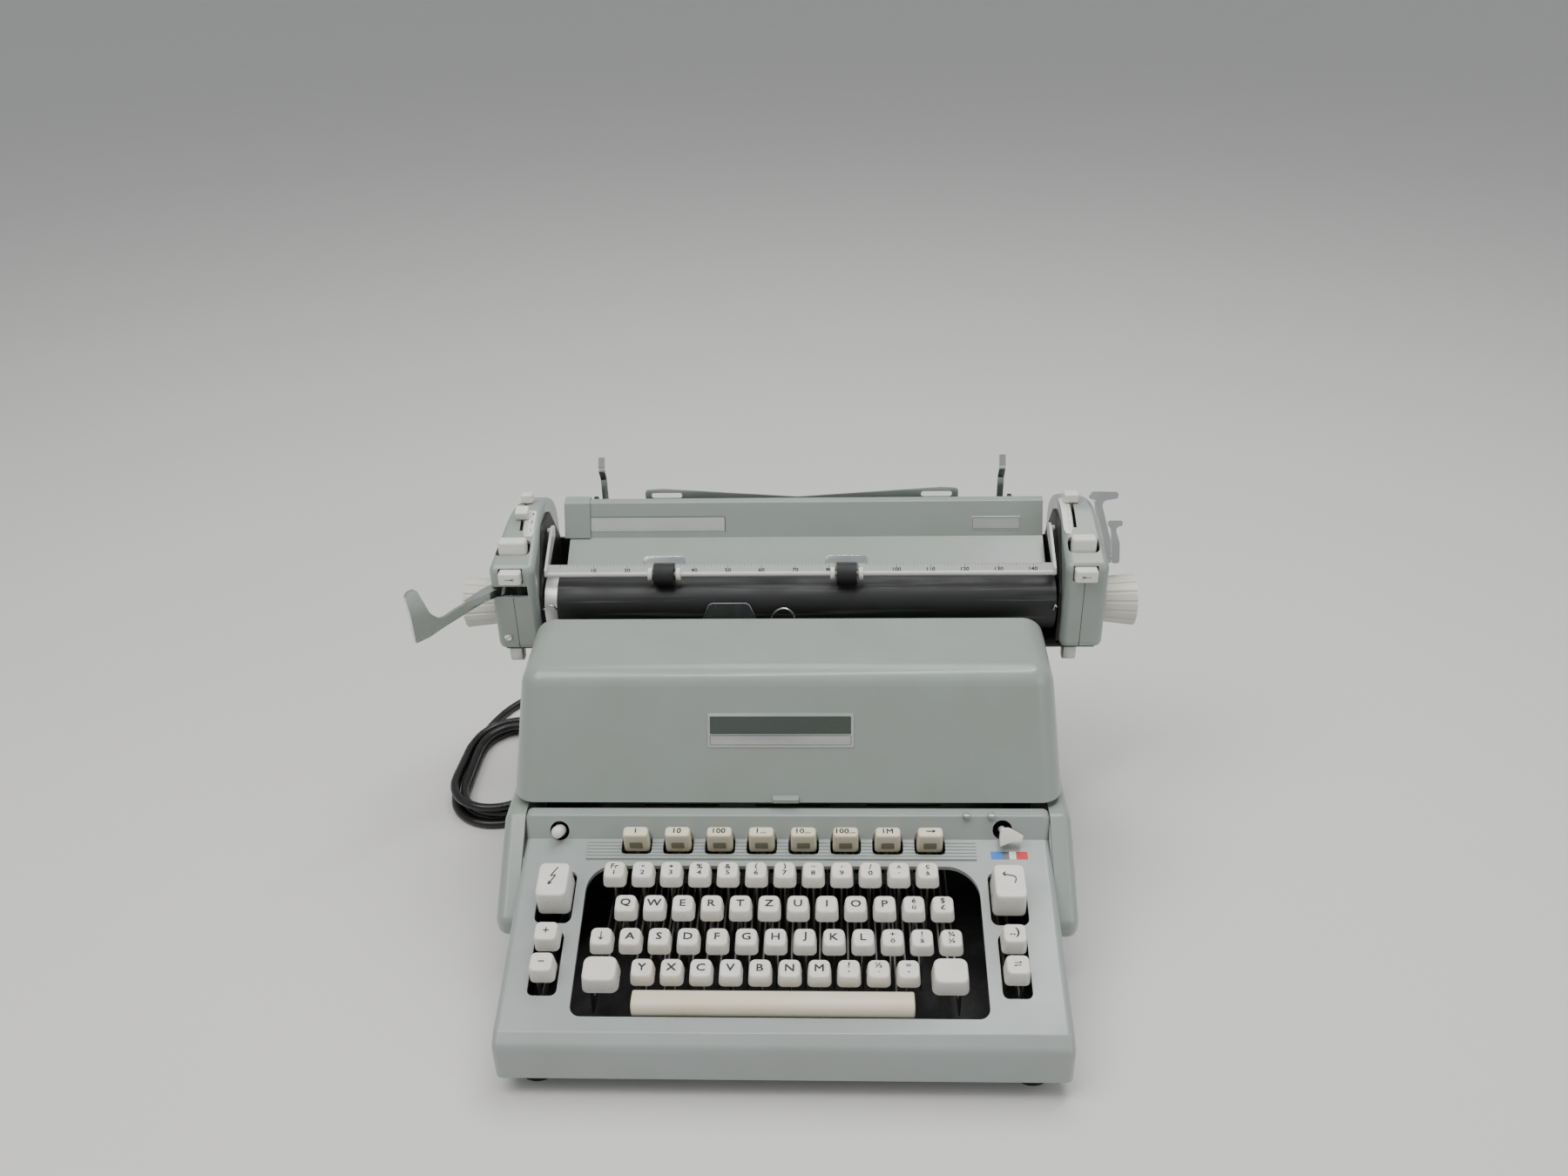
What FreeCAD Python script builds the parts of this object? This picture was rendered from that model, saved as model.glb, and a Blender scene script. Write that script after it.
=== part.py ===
"""Wide-carriage electric typewriter, as an assembly of separate solids.

Millimetres, +Z up, +X to the typist's right.
"""
import FreeCAD, Part
import math
import os

V = FreeCAD.Vector
os.makedirs("parts", exist_ok=True)

# ---- driving dimensions --------------------------------------------------------------------------------
# The machine frame used while modelling: X = 0 on the keyboard's centre, Y = 0 at the QWERTZ row,
# Z = 0 on the desk.
KEY_PITCH = 19.05            # key to key along a row, and row to row
CAP_HEIGHT = 9.5
CAP_TILT = 12.0              # degrees that a key top leans towards the typist
WALL = 2.2                   # sheet and moulding thickness of the casings

PANEL_HALF = 183.0           # half width of the keyboard surround
PANEL_Z0 = 72.7              # height of the surround's sloping panel at Y = 0
PANEL_SLOPE = 0.34
PANEL_FRONT = -82.0
CREASE_Y = 59.0              # where the panel turns up into the steep band behind the tab keys
RIDGE_Y, RIDGE_Z = 66.0, 108.0
BASE_Z = 16.0                # underside of the base pan
FOOT_HEIGHT = 14.0
FEET = [(-160.0, -58.0), (160.0, -58.0), (-160.0, 270.0), (160.0, 270.0)]
FRAME_X = 172.0              # middle of each side plate of the chassis

HOOD_BOTTOM = 111.5
HOOD_HALF_BOTTOM, HOOD_HALF_TOP = 194.0, 186.5
HOOD_FRONT_Y, HOOD_CREASE_Y, HOOD_REAR_Y = 76.0, 113.0, 178.0
HOOD_CREASE_Z, HOOD_TOP_Z = 196.0, 201.0
HOOD_ROUND = 17.0
HINGE_Y, HINGE_Z, HINGE_R = HOOD_REAR_Y - 12.0, 185.0, 2.5

BODY_HALF = 199.0            # half width over the side casings
BODY_REAR = 300.0
DECK_Z = 146.0               # top of the rear casing, under the carriage

PLATEN_Y, PLATEN_Z, PLATEN_R = 225.0, 190.0, 22.0
PLATEN_X0, PLATEN_X1 = -176.0, 201.0
SHAFT_R = 4.0
KNOB_SMALL_R, KNOB_LARGE_R, KNOB_FLUTES = 17.0, 20.0, 16
RUNNING = 0.05               # radial clearance of every running fit
PLATE_LEFT, PLATE_RIGHT = -189.0, 203.0     # outer face of the left end plate, inner face of the right one
PLATE_T = 2.0
LEFT_HOUSING_W, RIGHT_HOUSING_W = 35.0, 32.0    # at the front; both narrow towards the rear
LEFT_TAPER, RIGHT_TAPER = 0.20, 0.10            # how far each outer side leans in per millimetre of depth
LEFT_X0 = PLATE_LEFT - LEFT_HOUSING_W
RIGHT_X0 = PLATE_RIGHT + PLATE_T
RIGHT_X1 = RIGHT_X0 + RIGHT_HOUSING_W
HOUSING_FRONT, HOUSING_REAR, HOUSING_LOW = 197.0, 301.0, 162.0
HOUSING_SHOULDER_Z, HOUSING_CROWN = 232.5, (252.0, 261.0)
ARCH_Y, ARCH_Z, ARCH_R = 255.9, 218.0, 40.0     # the housings' rounded crown
LEFT_KEY_X, RIGHT_KEY_X = -206.5, 219.0         # centres of the keys on the housings' fronts
LEFT_SLIDER_X, RIGHT_SLIDER_X = -202.5, 214.5   # centres of the sliders on their crowns
LEVER_SLOT_Z0, LEVER_SLOT_Z1 = 209.6, 218.4     # slot in the left housing for the return lever
RAIL_R, RAIL_Z = 4.0, 152.0
RAIL_YS = (228.0, 280.0)
SHOE_XS = (-10.0, 26.0)      # centres of the sliding shoes under the carriage
SHOE_HALF = 9.0
BAIL_Y, BAIL_Z = 213.0, 219.6
BAIL_PIVOT_Y, BAIL_PIVOT_Z, BAIL_PIVOT_R = 250.0, 238.0, 2.5
BAIL_X0, BAIL_X1 = -184.0, 200.0
ROLLER_XS, ROLLER_R = (-93.5, 44.0), 8.6
ARM_XS = (-148.0, 166.0)                    # paper support arms
ARM_PIVOT_Y, ARM_PIVOT_Z = 296.0, 240.0

FULCRUM_Y, FULCRUM_Z, FULCRUM_R = 140.0, 38.0, 2.0
LEVER_T = 1.2                # thickness of a key lever
LEVER_Z0, LEVER_Z1 = 33.0, 41.0
ROWS = {                     # first key's X, number of keys, row's Y, height of the key tops' centres
    "number": (-113.86, 12, KEY_PITCH, 100.2),
    "upper": (-104.78, 12, 0.0, 88.0),
    "home": (-119.2, 13, -KEY_PITCH, 76.9),
    "lower": (-90.64, 10, -2 * KEY_PITCH, 68.4),
}
TYPING_KEY = ("upper", 6)    # the key that is built on its own, with its typebar
SIDE_LEFT, SIDE_RIGHT = -155.0, 149.8       # centres of the key columns beside the keyboard
TAB_X0, TAB_PITCH, TAB_COUNT = -103.5, 29.0, 8
TAB_Y, TAB_TOP, TAB_HEIGHT, TAB_TILT = 52.0, 105.5, 17.0, 14.0
SHIFT_Y, SHIFT_TOP, SHIFT_HEIGHT = -41.0, 70.5, 13.0
SPACE_Y, SPACE_TOP, SPACE_X0, SPACE_X1 = -54.5, 60.0, -96.0, 84.0
BIG_Y, BIG_TOP, BIG_HEIGHT, BIG_TILT = 13.6, 96.5, 21.0, 15.0
PAIR = ((-KEY_PITCH, 81.5), (-2 * KEY_PITCH - 1.5, 74.5))   # Y and top of the rear and the front side key
PAIR_HEIGHT, PAIR_TILT = 13.0, 14.0
CONTROL_TILT = 58.0          # how far the small controls in the steep band lean to the front
SELECTOR = (153.0, 62.0, 99.0)
SELECTOR_STEM_X = 150.0
KNOB = (-158.5, 62.0, 97.5)

PRINT_Y, PRINT_Z = 202.0, 190.0
# type bar pivots lie on a circle of TYPE_PIVOT_DROP about the print point's axis
TYPE_PIVOT_Y, TYPE_PIVOT_DROP = 183.0, 78.0
TYPEBAR_LENGTH = 79.0
TYPEBAR_COUNT = 43
CENTRE_BAR = TYPEBAR_COUNT // 2
TYPEBAR_FAN = 128.0          # degrees from the first typebar to the last
TYPEBAR_REST_DROP = 5.0      # degrees below level at which the typebars rest
GUIDE_Y = 194.0               # front face of the card guide, between the typebars and the carriage
RIBBON_Y = 199.0
SPOOL_X, SPOOL_Y, SPOOL_Z = 142.0, 146.0, 148.0

LEVER_PIVOT, LEVER_POST_R = (-206.0, 216.0), 3.0     # carriage return lever
LEVER_HEADING = 231.0                                # degrees from +X to which it reaches at rest
RELEASE_PIVOT, RELEASE_LEAN = (233.0, 222.0), 28.0   # Y, Z and lean of the two release levers on the right
MOTOR_X, MOTOR_Y, MOTOR_Z, MOTOR_R = 40.0, 236.0, 68.0, 30.0
ROLL_Y, ROLL_Z, ROLL_R = 178.0, 66.0, 11.0
BELT_X = -150.0
PULLEY_R, ROLL_PULLEY_R = 9.0, 22.0

CORD_R = 3.5
GLAND = (-70.0, BODY_REAR, 44.0)
# The cord's put-up part is a loose oval coil on the desk: two half circles of COIL_BEND joined by
# straight sides.
COIL_CENTRE = (-246.0, 252.0)
COIL_BEND, COIL_STRAIGHT, COIL_BAND, COIL_TOP = 36.0, 30.0, 8.0, 21.0
# From the gland down to the desk and round behind the coil into its left side.
CORD_IN = [
    (-70.0, 318.0, 44.0), (-70.0, 352.0, 43.0), (-84.0, 384.0, 28.0), (-112.0, 404.0, 10.0),
    (-150.0, 410.0, 3.5),
    (-190.0, 404.0, 3.5), (-228.0, 388.0, 3.5), (-260.0, 362.0, 3.5), (-278.0, 328.0, 3.5),
    (-282.0, 292.0, 3.5),
]
# From the coil's right side to the plug, which lies behind the machine.
CORD_OUT = [
    (-210.0, 290.0, 16.5), (-209.0, 318.0, 15.0), (-199.0, 343.0, 10.5), (-178.0, 358.0, 8.0),
    (-152.0, 360.0, 8.0),
]


# ---- small builders ------------------------------------------------------------------------------------
def box(x0, x1, y0, y1, z0, z1):
    return Part.makeBox(x1 - x0, y1 - y0, z1 - z0, V(x0, y0, z0))


def rod_x(x0, x1, y, z, r, r1=None):
    if r1 is None:
        return Part.makeCylinder(r, x1 - x0, V(x0, y, z), V(1, 0, 0))
    return Part.makeCone(r, r1, x1 - x0, V(x0, y, z), V(1, 0, 0))


def rod_y(x, y0, y1, z, r):
    return Part.makeCylinder(r, y1 - y0, V(x, y0, z), V(0, 1, 0))


def rod_z(x, y, z0, z1, r):
    return Part.makeCylinder(r, z1 - z0, V(x, y, z0), V(0, 0, 1))


def rounded_wire(points):
    """A closed planar wire through (point, corner radius) pairs, its corners turned by tangent arcs."""
    count = len(points)
    edges, ends = [], []
    for i, (p, r) in enumerate(points):
        a = points[i - 1][0] - p
        b = points[(i + 1) % count][0] - p
        a.normalize()
        b.normalize()
        if r <= 0:
            ends.append((p, None, p))
            continue
        half = a.getAngle(b) / 2
        reach = r / math.tan(half)
        middle = a + b
        middle.normalize()
        centre = p + middle * (r / math.sin(half))
        ends.append((p + a * reach, centre - middle * r, p + b * reach))
    for i, (start, middle, end) in enumerate(ends):
        if middle is not None:
            edges.append(Part.Arc(start, middle, end).toShape())
        following = ends[(i + 1) % count][0]
        if (following - end).Length > 1e-6:
            edges.append(Part.makeLine(end, following))
    return Part.Wire(edges)


def prism_x(points, x0, x1):
    """Extrudes a (y, z) or (y, z, corner radius) outline from x0 to x1."""
    wire = rounded_wire([(V(x0, p[0], p[1]), p[2] if len(p) > 2 else 0) for p in points])
    return Part.Face(wire).extrude(V(x1 - x0, 0, 0))


def prism_y(points, y0, y1):
    wire = rounded_wire([(V(p[0], y0, p[1]), p[2] if len(p) > 2 else 0) for p in points])
    return Part.Face(wire).extrude(V(0, y1 - y0, 0))


def prism_z(points, z0, z1):
    wire = rounded_wire([(V(p[0], p[1], z0), p[2] if len(p) > 2 else 0) for p in points])
    return Part.Face(wire).extrude(V(0, 0, z1 - z0))


def slab(cx, cy, wx, wy, z0, z1, r):
    """An upright block with rounded vertical edges."""
    x0, x1, y0, y1 = cx - wx / 2, cx + wx / 2, cy - wy / 2, cy + wy / 2
    return prism_z([(x0, y0, r), (x1, y0, r), (x1, y1, r), (x0, y1, r)], z0, z1)


def fillet(shape, radius, keep):
    """Rounds the edges for which keep(middle point, unit direction) is true."""
    edges = []
    for edge in shape.Edges:
        a, b = edge.valueAt(edge.FirstParameter), edge.valueAt(edge.LastParameter)
        if (b - a).Length < 1e-6:
            continue
        middle = edge.valueAt((edge.FirstParameter + edge.LastParameter) / 2)
        direction = b - a
        direction.normalize()
        if keep(middle, direction):
            edges.append(edge)
    return shape.makeFillet(radius, edges)


def turned(shape, degrees, centre, axis):
    copy = shape.copy()
    copy.rotate(V(*centre), V(*axis), degrees)
    return copy


def moved(shape, x=0.0, y=0.0, z=0.0):
    copy = shape.copy()
    copy.translate(V(x, y, z))
    return copy


def key_cap(width, depth, height, flare=1.9, corner=3.4):
    """A moulded key cap standing on Z = 0, flared towards its foot, with a rounded rim and a dished top."""
    def section(w, d, z):
        x, y = w / 2, d / 2
        r = min(corner, x - 0.2, y - 0.2)
        return rounded_wire([(V(-x, -y, z), r), (V(x, -y, z), r), (V(x, y, z), r), (V(-x, y, z), r)])

    rim = [(flare, 0.0), (0.25, height - 1.5), (-0.35, height - 0.55), (-1.1, height - 0.12), (-2.0, height)]
    solid = Part.makeLoft([section(width + grow, depth + grow, z) for grow, z in rim], True, True)
    dish_r = 46.0
    dish = Part.makeCylinder(dish_r, depth * 3, V(0, -depth * 1.5, height + dish_r - 0.55), V(0, 1, 0))
    return solid.cut(dish)


def placed_cap(cap, x, y, top, height, tilt=CAP_TILT):
    """A cap whose top's centre is at (x, y, top), leaning towards the typist."""
    shape = moved(cap, 0, 0, -height)
    return moved(turned(shape, tilt, (0, 0, 0), (1, 0, 0)), x, y, top)


def key_lever(x, y, foot, tail=5.0):
    """The flat lever under a key: a stem up to the cap's foot, and a bar back to the fulcrum shaft."""
    end = FULCRUM_Y + tail
    outline = [(y - 3, foot), (y - 3, LEVER_Z0), (end, LEVER_Z0), (end, LEVER_Z1 + 2), (y + 3, LEVER_Z1),
               (y + 3, foot)]
    bar = prism_x(outline, x - LEVER_T / 2, x + LEVER_T / 2)
    return bar.cut(rod_x(x - LEVER_T, x + LEVER_T, FULCRUM_Y, FULCRUM_Z, FULCRUM_R + RUNNING))


def cap_foot(top, height, tilt):
    """Height at which the front of a lever's 6 mm wide stem meets the underside of a tilted cap."""
    lean = math.radians(tilt)
    return top - height / math.cos(lean) - 3.0 * math.tan(lean)


def panel_z(y):
    return PANEL_Z0 + PANEL_SLOPE * y


# ---- keyboard ------------------------------------------------------------------------------------------
def row_keys(row):
    """Caps and levers of one row, without the key that has its own typebar."""
    x0, count, y, top = ROWS[row]
    cap = key_cap(13.6, 13.4, CAP_HEIGHT)
    solids = []
    for i in range(count):
        if (row, i) != TYPING_KEY:
            x = x0 + i * KEY_PITCH
            solids += key_and_lever(cap, x, x, y, top, CAP_HEIGHT)
    return solids


def key_and_lever(cap, x, lever_x, y, top, height, tilt=CAP_TILT, tail=5.0):
    foot = cap_foot(top, height, tilt)
    return [placed_cap(cap, x, y, top, height, tilt), key_lever(lever_x, y, foot, tail)]


def typing_key():
    x0, _, y, top = ROWS[TYPING_KEY[0]]
    x = x0 + TYPING_KEY[1] * KEY_PITCH
    return key_and_lever(key_cap(13.6, 13.4, CAP_HEIGHT), x, x, y, top, CAP_HEIGHT)


def shift_keys():
    cap = key_cap(21.5, 18.0, SHIFT_HEIGHT, 2.2, 4.5)
    tail = 10.0
    solids = key_and_lever(cap, -117.5, -124.0, SHIFT_Y, SHIFT_TOP, SHIFT_HEIGHT, tail=tail)
    solids += key_and_lever(cap, 107.5, 114.0, SHIFT_Y, SHIFT_TOP, SHIFT_HEIGHT, tail=tail)
    tie_y = FULCRUM_Y + tail
    solids.append(box(-126.0, 116.0, tie_y, tie_y + 4, LEVER_Z0, LEVER_Z1))
    return solids


def space_bar():
    bar = box(SPACE_X0, SPACE_X1, SPACE_Y - 7.2, SPACE_Y + 6.8, SPACE_TOP - 12, SPACE_TOP)
    bar = fillet(bar, 3.0, lambda m, d: m.z > SPACE_TOP - 0.1 and (abs(d.x) > 0.9 and m.y < SPACE_Y))
    bar = fillet(bar, 1.6, lambda m, d: abs(d.x) < 0.5 and m.z > SPACE_TOP - 11)
    solids = [bar]
    for x in (-78.45, 73.95):
        solids.append(key_lever(x, SPACE_Y, SPACE_TOP - 12.0))
    return solids


def tab_keys():
    cap = key_cap(17.0, 8.2, TAB_HEIGHT, 0.9, 2.4)
    solids = []
    for i in range(TAB_COUNT):
        x = TAB_X0 + i * TAB_PITCH
        solids.append(placed_cap(cap, x, TAB_Y, TAB_TOP, TAB_HEIGHT, TAB_TILT))
        solids.append(box(x - 1.5, x + 1.5, TAB_Y + 1.5, TAB_Y + 6.5, 62.0, TAB_TOP - TAB_HEIGHT - 0.3))
    solids.append(box(TAB_X0 - 6, TAB_X0 + 7 * TAB_PITCH + 6, TAB_Y + 0.5, TAB_Y + 7.5, 58.0, 62.0))
    return solids


def big_key(x, lever_x):
    cap = key_cap(20.4, 25.5, BIG_HEIGHT, 1.8, 3.6)
    return key_and_lever(cap, x, lever_x, BIG_Y, BIG_TOP, BIG_HEIGHT, BIG_TILT)


def pair_keys(x, lever_xs):
    cap = key_cap(14.6, 13.6, PAIR_HEIGHT, 1.6, 3.2)
    solids = []
    for (y, top), lever_x in zip(PAIR, lever_xs):
        solids += key_and_lever(cap, x, lever_x, y, top, PAIR_HEIGHT, PAIR_TILT)
    return solids


def ribbon_selector():
    """A short lever with a flag-shaped grip, standing out of the crease of the surround."""
    x, y, z = SELECTOR
    stem = rod_z(SELECTOR_STEM_X, y, z - 22, z + 9, 2.6)
    grip = prism_z([(x - 9, y - 3.5, 1.5), (x + 10, y - 5, 2), (x + 12, y + 3, 2), (x - 7, y + 3.5, 1.5)],
                   z + 8, z + 12.5)
    return [turned(grip.fuse(stem).removeSplitter(), CONTROL_TILT, (x, y, z), (1, 0, 0))]


def reset_knob():
    x, y, z = KNOB
    pin = rod_z(x, y, z - 20, z + 7, 3.9)
    return [turned(pin, CONTROL_TILT, (x, y, z), (1, 0, 0))]


# ---- casings -------------------------------------------------------------------------------------------
def surround_solid(inset):
    """The keyboard surround's outer form, or its inner one when inset is the wall thickness."""
    top = inset * 1.06
    bottom = BASE_Z - (20 if inset else 0)
    rear = RIDGE_Y + 8
    outline = [
        (PANEL_FRONT + inset, bottom), (PANEL_FRONT + inset, panel_z(PANEL_FRONT) - 3 - top, 7.0 - inset),
        (PANEL_FRONT + 9, panel_z(PANEL_FRONT + 9) - top, 5.0),
        (CREASE_Y + inset * 0.7, panel_z(CREASE_Y) - top),
        (RIDGE_Y + inset * 0.9, RIDGE_Z - top, 1.5), (rear + (2 if inset else 0), RIDGE_Z - top),
        (rear + (2 if inset else 0), bottom),
    ]
    half = PANEL_HALF - inset
    solid = prism_x(outline, -half, half)
    radius = 5.0 if inset == 0 else 3.0

    def side_edge(m, d):
        return abs(abs(m.x) - half) < 0.01 and panel_z(m.y) - top - 9 < m.z and m.y > PANEL_FRONT - 1 \
            and m.y < rear - 0.5 and m.z > 36

    return fillet(solid, radius, side_edge)


def opening_cut(x0, x1, y0, y1, radii, z0=30.0, z1=125.0):
    a, b, c, d = radii
    return prism_z([(x0, y0, a), (x1, y0, b), (x1, y1, c), (x0, y1, d)], z0, z1)


def keyboard_surround():
    shell = surround_solid(0).cut(surround_solid(WALL))
    cuts = [opening_cut(-135.5, 131.5, -63.5, 39.0, (7, 7, 22, 18))]
    for x in (SIDE_LEFT, SIDE_RIGHT):
        cuts.append(opening_cut(x - 12.6, x + 12.6, BIG_Y - 16.0, BIG_Y + 21.0, (5, 5, 5, 5)))
        cuts.append(opening_cut(x - 9.6, x + 9.6, PAIR[1][0] - 11.0, PAIR[0][0] + 10.5, (4, 4, 4, 4)))
    for i in range(TAB_COUNT):
        x = TAB_X0 + i * TAB_PITCH
        cuts.append(opening_cut(x - 10.6, x + 10.6, TAB_Y - 5.6, TAB_Y + 9.4, (3.5, 3.5, 3.5, 3.5), 60, 104))
    for x, y, z in (KNOB, (SELECTOR_STEM_X, SELECTOR[1], SELECTOR[2])):
        cuts.append(turned(rod_z(x, y, z - 25, z + 25, 6.8), CONTROL_TILT, (x, y, z), (1, 0, 0)))
    return [shell.cut(Part.makeCompound(cuts))]


def tab_key_strip():
    """Ribbed trim strip that lies on the panel round the tab keys."""
    y0, y1, ribs = 43.0, 57.4, 6
    outline = [(y0, panel_z(y0) + 0.05)]
    step = (y1 - y0) / ribs
    for i in range(ribs):
        y = y0 + i * step
        for share, rise in ((0.12, 1.5), (0.62, 1.5), (0.74, 0.9), (1.0, 0.9)):
            outline.append((y + share * step, panel_z(y + share * step) + rise))
    outline.append((y1, panel_z(y1) + 0.05))
    strip = prism_x(outline, -138.0, 131.0)
    cuts = [opening_cut(TAB_X0 + i * TAB_PITCH - 10.6, TAB_X0 + i * TAB_PITCH + 10.6, TAB_Y - 5.6,
                        TAB_Y + 9.4,
                        (3.5, 3.5, 3.5, 3.5), 60, 104) for i in range(TAB_COUNT)]
    return [strip.cut(Part.makeCompound(cuts))]


def hood_solid(inset):
    """The ribbon cover's outer form, or its inner one when inset is the wall thickness."""
    i = inset
    low = HOOD_BOTTOM - (12 if inset else 0)
    lean = (HOOD_CREASE_Y - HOOD_FRONT_Y) / (HOOD_CREASE_Z - HOOD_BOTTOM)
    front = HOOD_FRONT_Y + lean * (low - HOOD_BOTTOM)
    side = prism_x([
        (front + i * 1.1, low), (HOOD_CREASE_Y + i * 0.5, HOOD_CREASE_Z - i),
        (HOOD_REAR_Y - i, HOOD_TOP_Z - i),
        (HOOD_REAR_Y - i, low),
    ], -220, 220)
    drift = (HOOD_HALF_TOP - HOOD_HALF_BOTTOM) / (HOOD_TOP_Z - HOOD_BOTTOM)
    low_half = HOOD_HALF_BOTTOM + drift * (low - HOOD_BOTTOM) - i
    top_half = HOOD_HALF_TOP - i
    face = prism_y([(-low_half, low), (low_half, low), (top_half, HOOD_TOP_Z), (-top_half, HOOD_TOP_Z)], 0,
                   260)
    solid = side.common(face).removeSplitter()

    def shoulder(m, d):
        if m.z < HOOD_BOTTOM - 11.9 or m.y > HOOD_REAR_Y - i - 0.5:
            return False
        crease = abs(m.z - (HOOD_CREASE_Z - i)) < 0.6 and abs(d.x) > 0.9
        return crease or (abs(d.x) < 0.9 and m.z > low + 1)

    return fillet(solid, HOOD_ROUND - i, shoulder)


def ribbon_cover():
    shell = hood_solid(0).cut(hood_solid(WALL))
    # the rear wall is open for the typebars, with the upper lip left; the bottom front corners are rounded
    shell = shell.cut(box(-178, 178, HOOD_REAR_Y - 9, HOOD_REAR_Y + 5, HOOD_BOTTOM - 1, HOOD_TOP_Z - 7))
    tab = fillet(box(-9, 9, HOOD_FRONT_Y - 2.5, HOOD_FRONT_Y + 8, HOOD_BOTTOM + 0.6, HOOD_BOTTOM + 4.6), 1.2,
                 lambda m, d: m.y < HOOD_FRONT_Y)
    shell = shell.fuse(tab).removeSplitter()
    ears = []
    for side in (-1, 1):
        x = side * 176.0
        ear = prism_x([(HINGE_Y - 9, 178, 4), (HINGE_Y + 9, 178, 4), (HINGE_Y + 9, HOOD_TOP_Z - 2.8),
                       (HINGE_Y - 9, HOOD_TOP_Z - 2.8)], x - 1.5, x + 1.5)
        ears.append(ear.cut(rod_x(x - 3, x + 3, HINGE_Y, HINGE_Z, HINGE_R + RUNNING)))
    for ear in ears:
        shell = shell.fuse(ear)
    return [shell]


def side_casing(side):
    """A hollow cheek that follows the panel's slope at the front and closes the body behind."""
    def form(inset):
        i = inset
        outline = [
            (12.0 + i, 44.0 - (8 if i else 0), 0 if i else 7.0), (12.0 + i, 60.0 - i * 0.6, 6.0 - i),
            (70.0 + i, 106.0 - i, 6.0 - i), (HOOD_REAR_Y + 6 + (i * 0.4), 106.0 - i, 8.0),
            (HOOD_REAR_Y + 12 + i, DECK_Z - i, 6.0 - i), (BODY_REAR - i, DECK_Z - i, 10.0 - i),
            (BODY_REAR - i, 44.0 - (8 if i else 0), 0 if i else 8.0),
        ]
        solid = prism_x(outline, PANEL_HALF + 0.3 - (5 if i else 0), BODY_HALF - i)
        low = 36.0 if i else 44.0
        return fillet(solid, 8.0 - i, lambda m, d: m.x > BODY_HALF - i - 0.01 and m.z > low)

    shell = form(0).cut(form(WALL))
    inner = box(PANEL_HALF + 0.3, PANEL_HALF + 1.8, 80.0, BODY_REAR - WALL, 48.0, 100.0)
    shell = shell.fuse(inner).removeSplitter()
    if side < 0:
        shell = shell.mirror(V(0, 0, 0), V(1, 0, 0))
    return [shell]


def rear_casing():
    """Back wall and the deck under the carriage, between the side casings."""
    half = PANEL_HALF - 0.2
    wall = box(-half, half, BODY_REAR - WALL, BODY_REAR, 22.0, DECK_Z)
    deck = box(-half, half, 200.0, BODY_REAR, DECK_Z - WALL, DECK_Z)
    shell = wall.fuse(deck).removeSplitter()
    shell = fillet(shell, 6.0, lambda m, d: abs(d.x) > 0.9 and m.y > BODY_REAR - 0.1 and m.z > DECK_Z - 0.1)
    vents = [box(x - 1.6, x + 1.6, BODY_REAR - 5, BODY_REAR + 1, 84.0, 122.0) for x in range(-120, 121, 10)]
    gland_hole = rod_y(GLAND[0], BODY_REAR - 5, BODY_REAR + 1, GLAND[2], 8.0)
    return [shell.cut(Part.makeCompound(vents + [gland_hole]))]


def base_pan():
    half = PANEL_HALF - WALL - 0.4
    outer = box(-half, half, PANEL_FRONT + WALL + 0.4, BODY_REAR - WALL - 0.3, BASE_Z, 30.0)
    outer = fillet(outer, 6.0, lambda m, d: abs(d.z) > 0.9)
    inner = box(-half + 2, half - 2, PANEL_FRONT + WALL + 2.4, BODY_REAR - WALL - 2.3, BASE_Z + 2, 40.0)
    pan = outer.cut(fillet(inner, 4.0, lambda m, d: abs(d.z) > 0.9))
    slots = [box(x - 30, x + 30, y - 1.6, y + 1.6, BASE_Z - 1, BASE_Z + 3)
             for x in (-90, 0, 90) for y in range(190, 271, 12)]
    return [pan.cut(Part.makeCompound(slots))]


def rubber_feet():
    feet = []
    for x, y in FEET:
        feet.append(Part.makeCone(13.0, 16.0, FOOT_HEIGHT + 2.0, V(x, y, 0)))
    return feet


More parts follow.
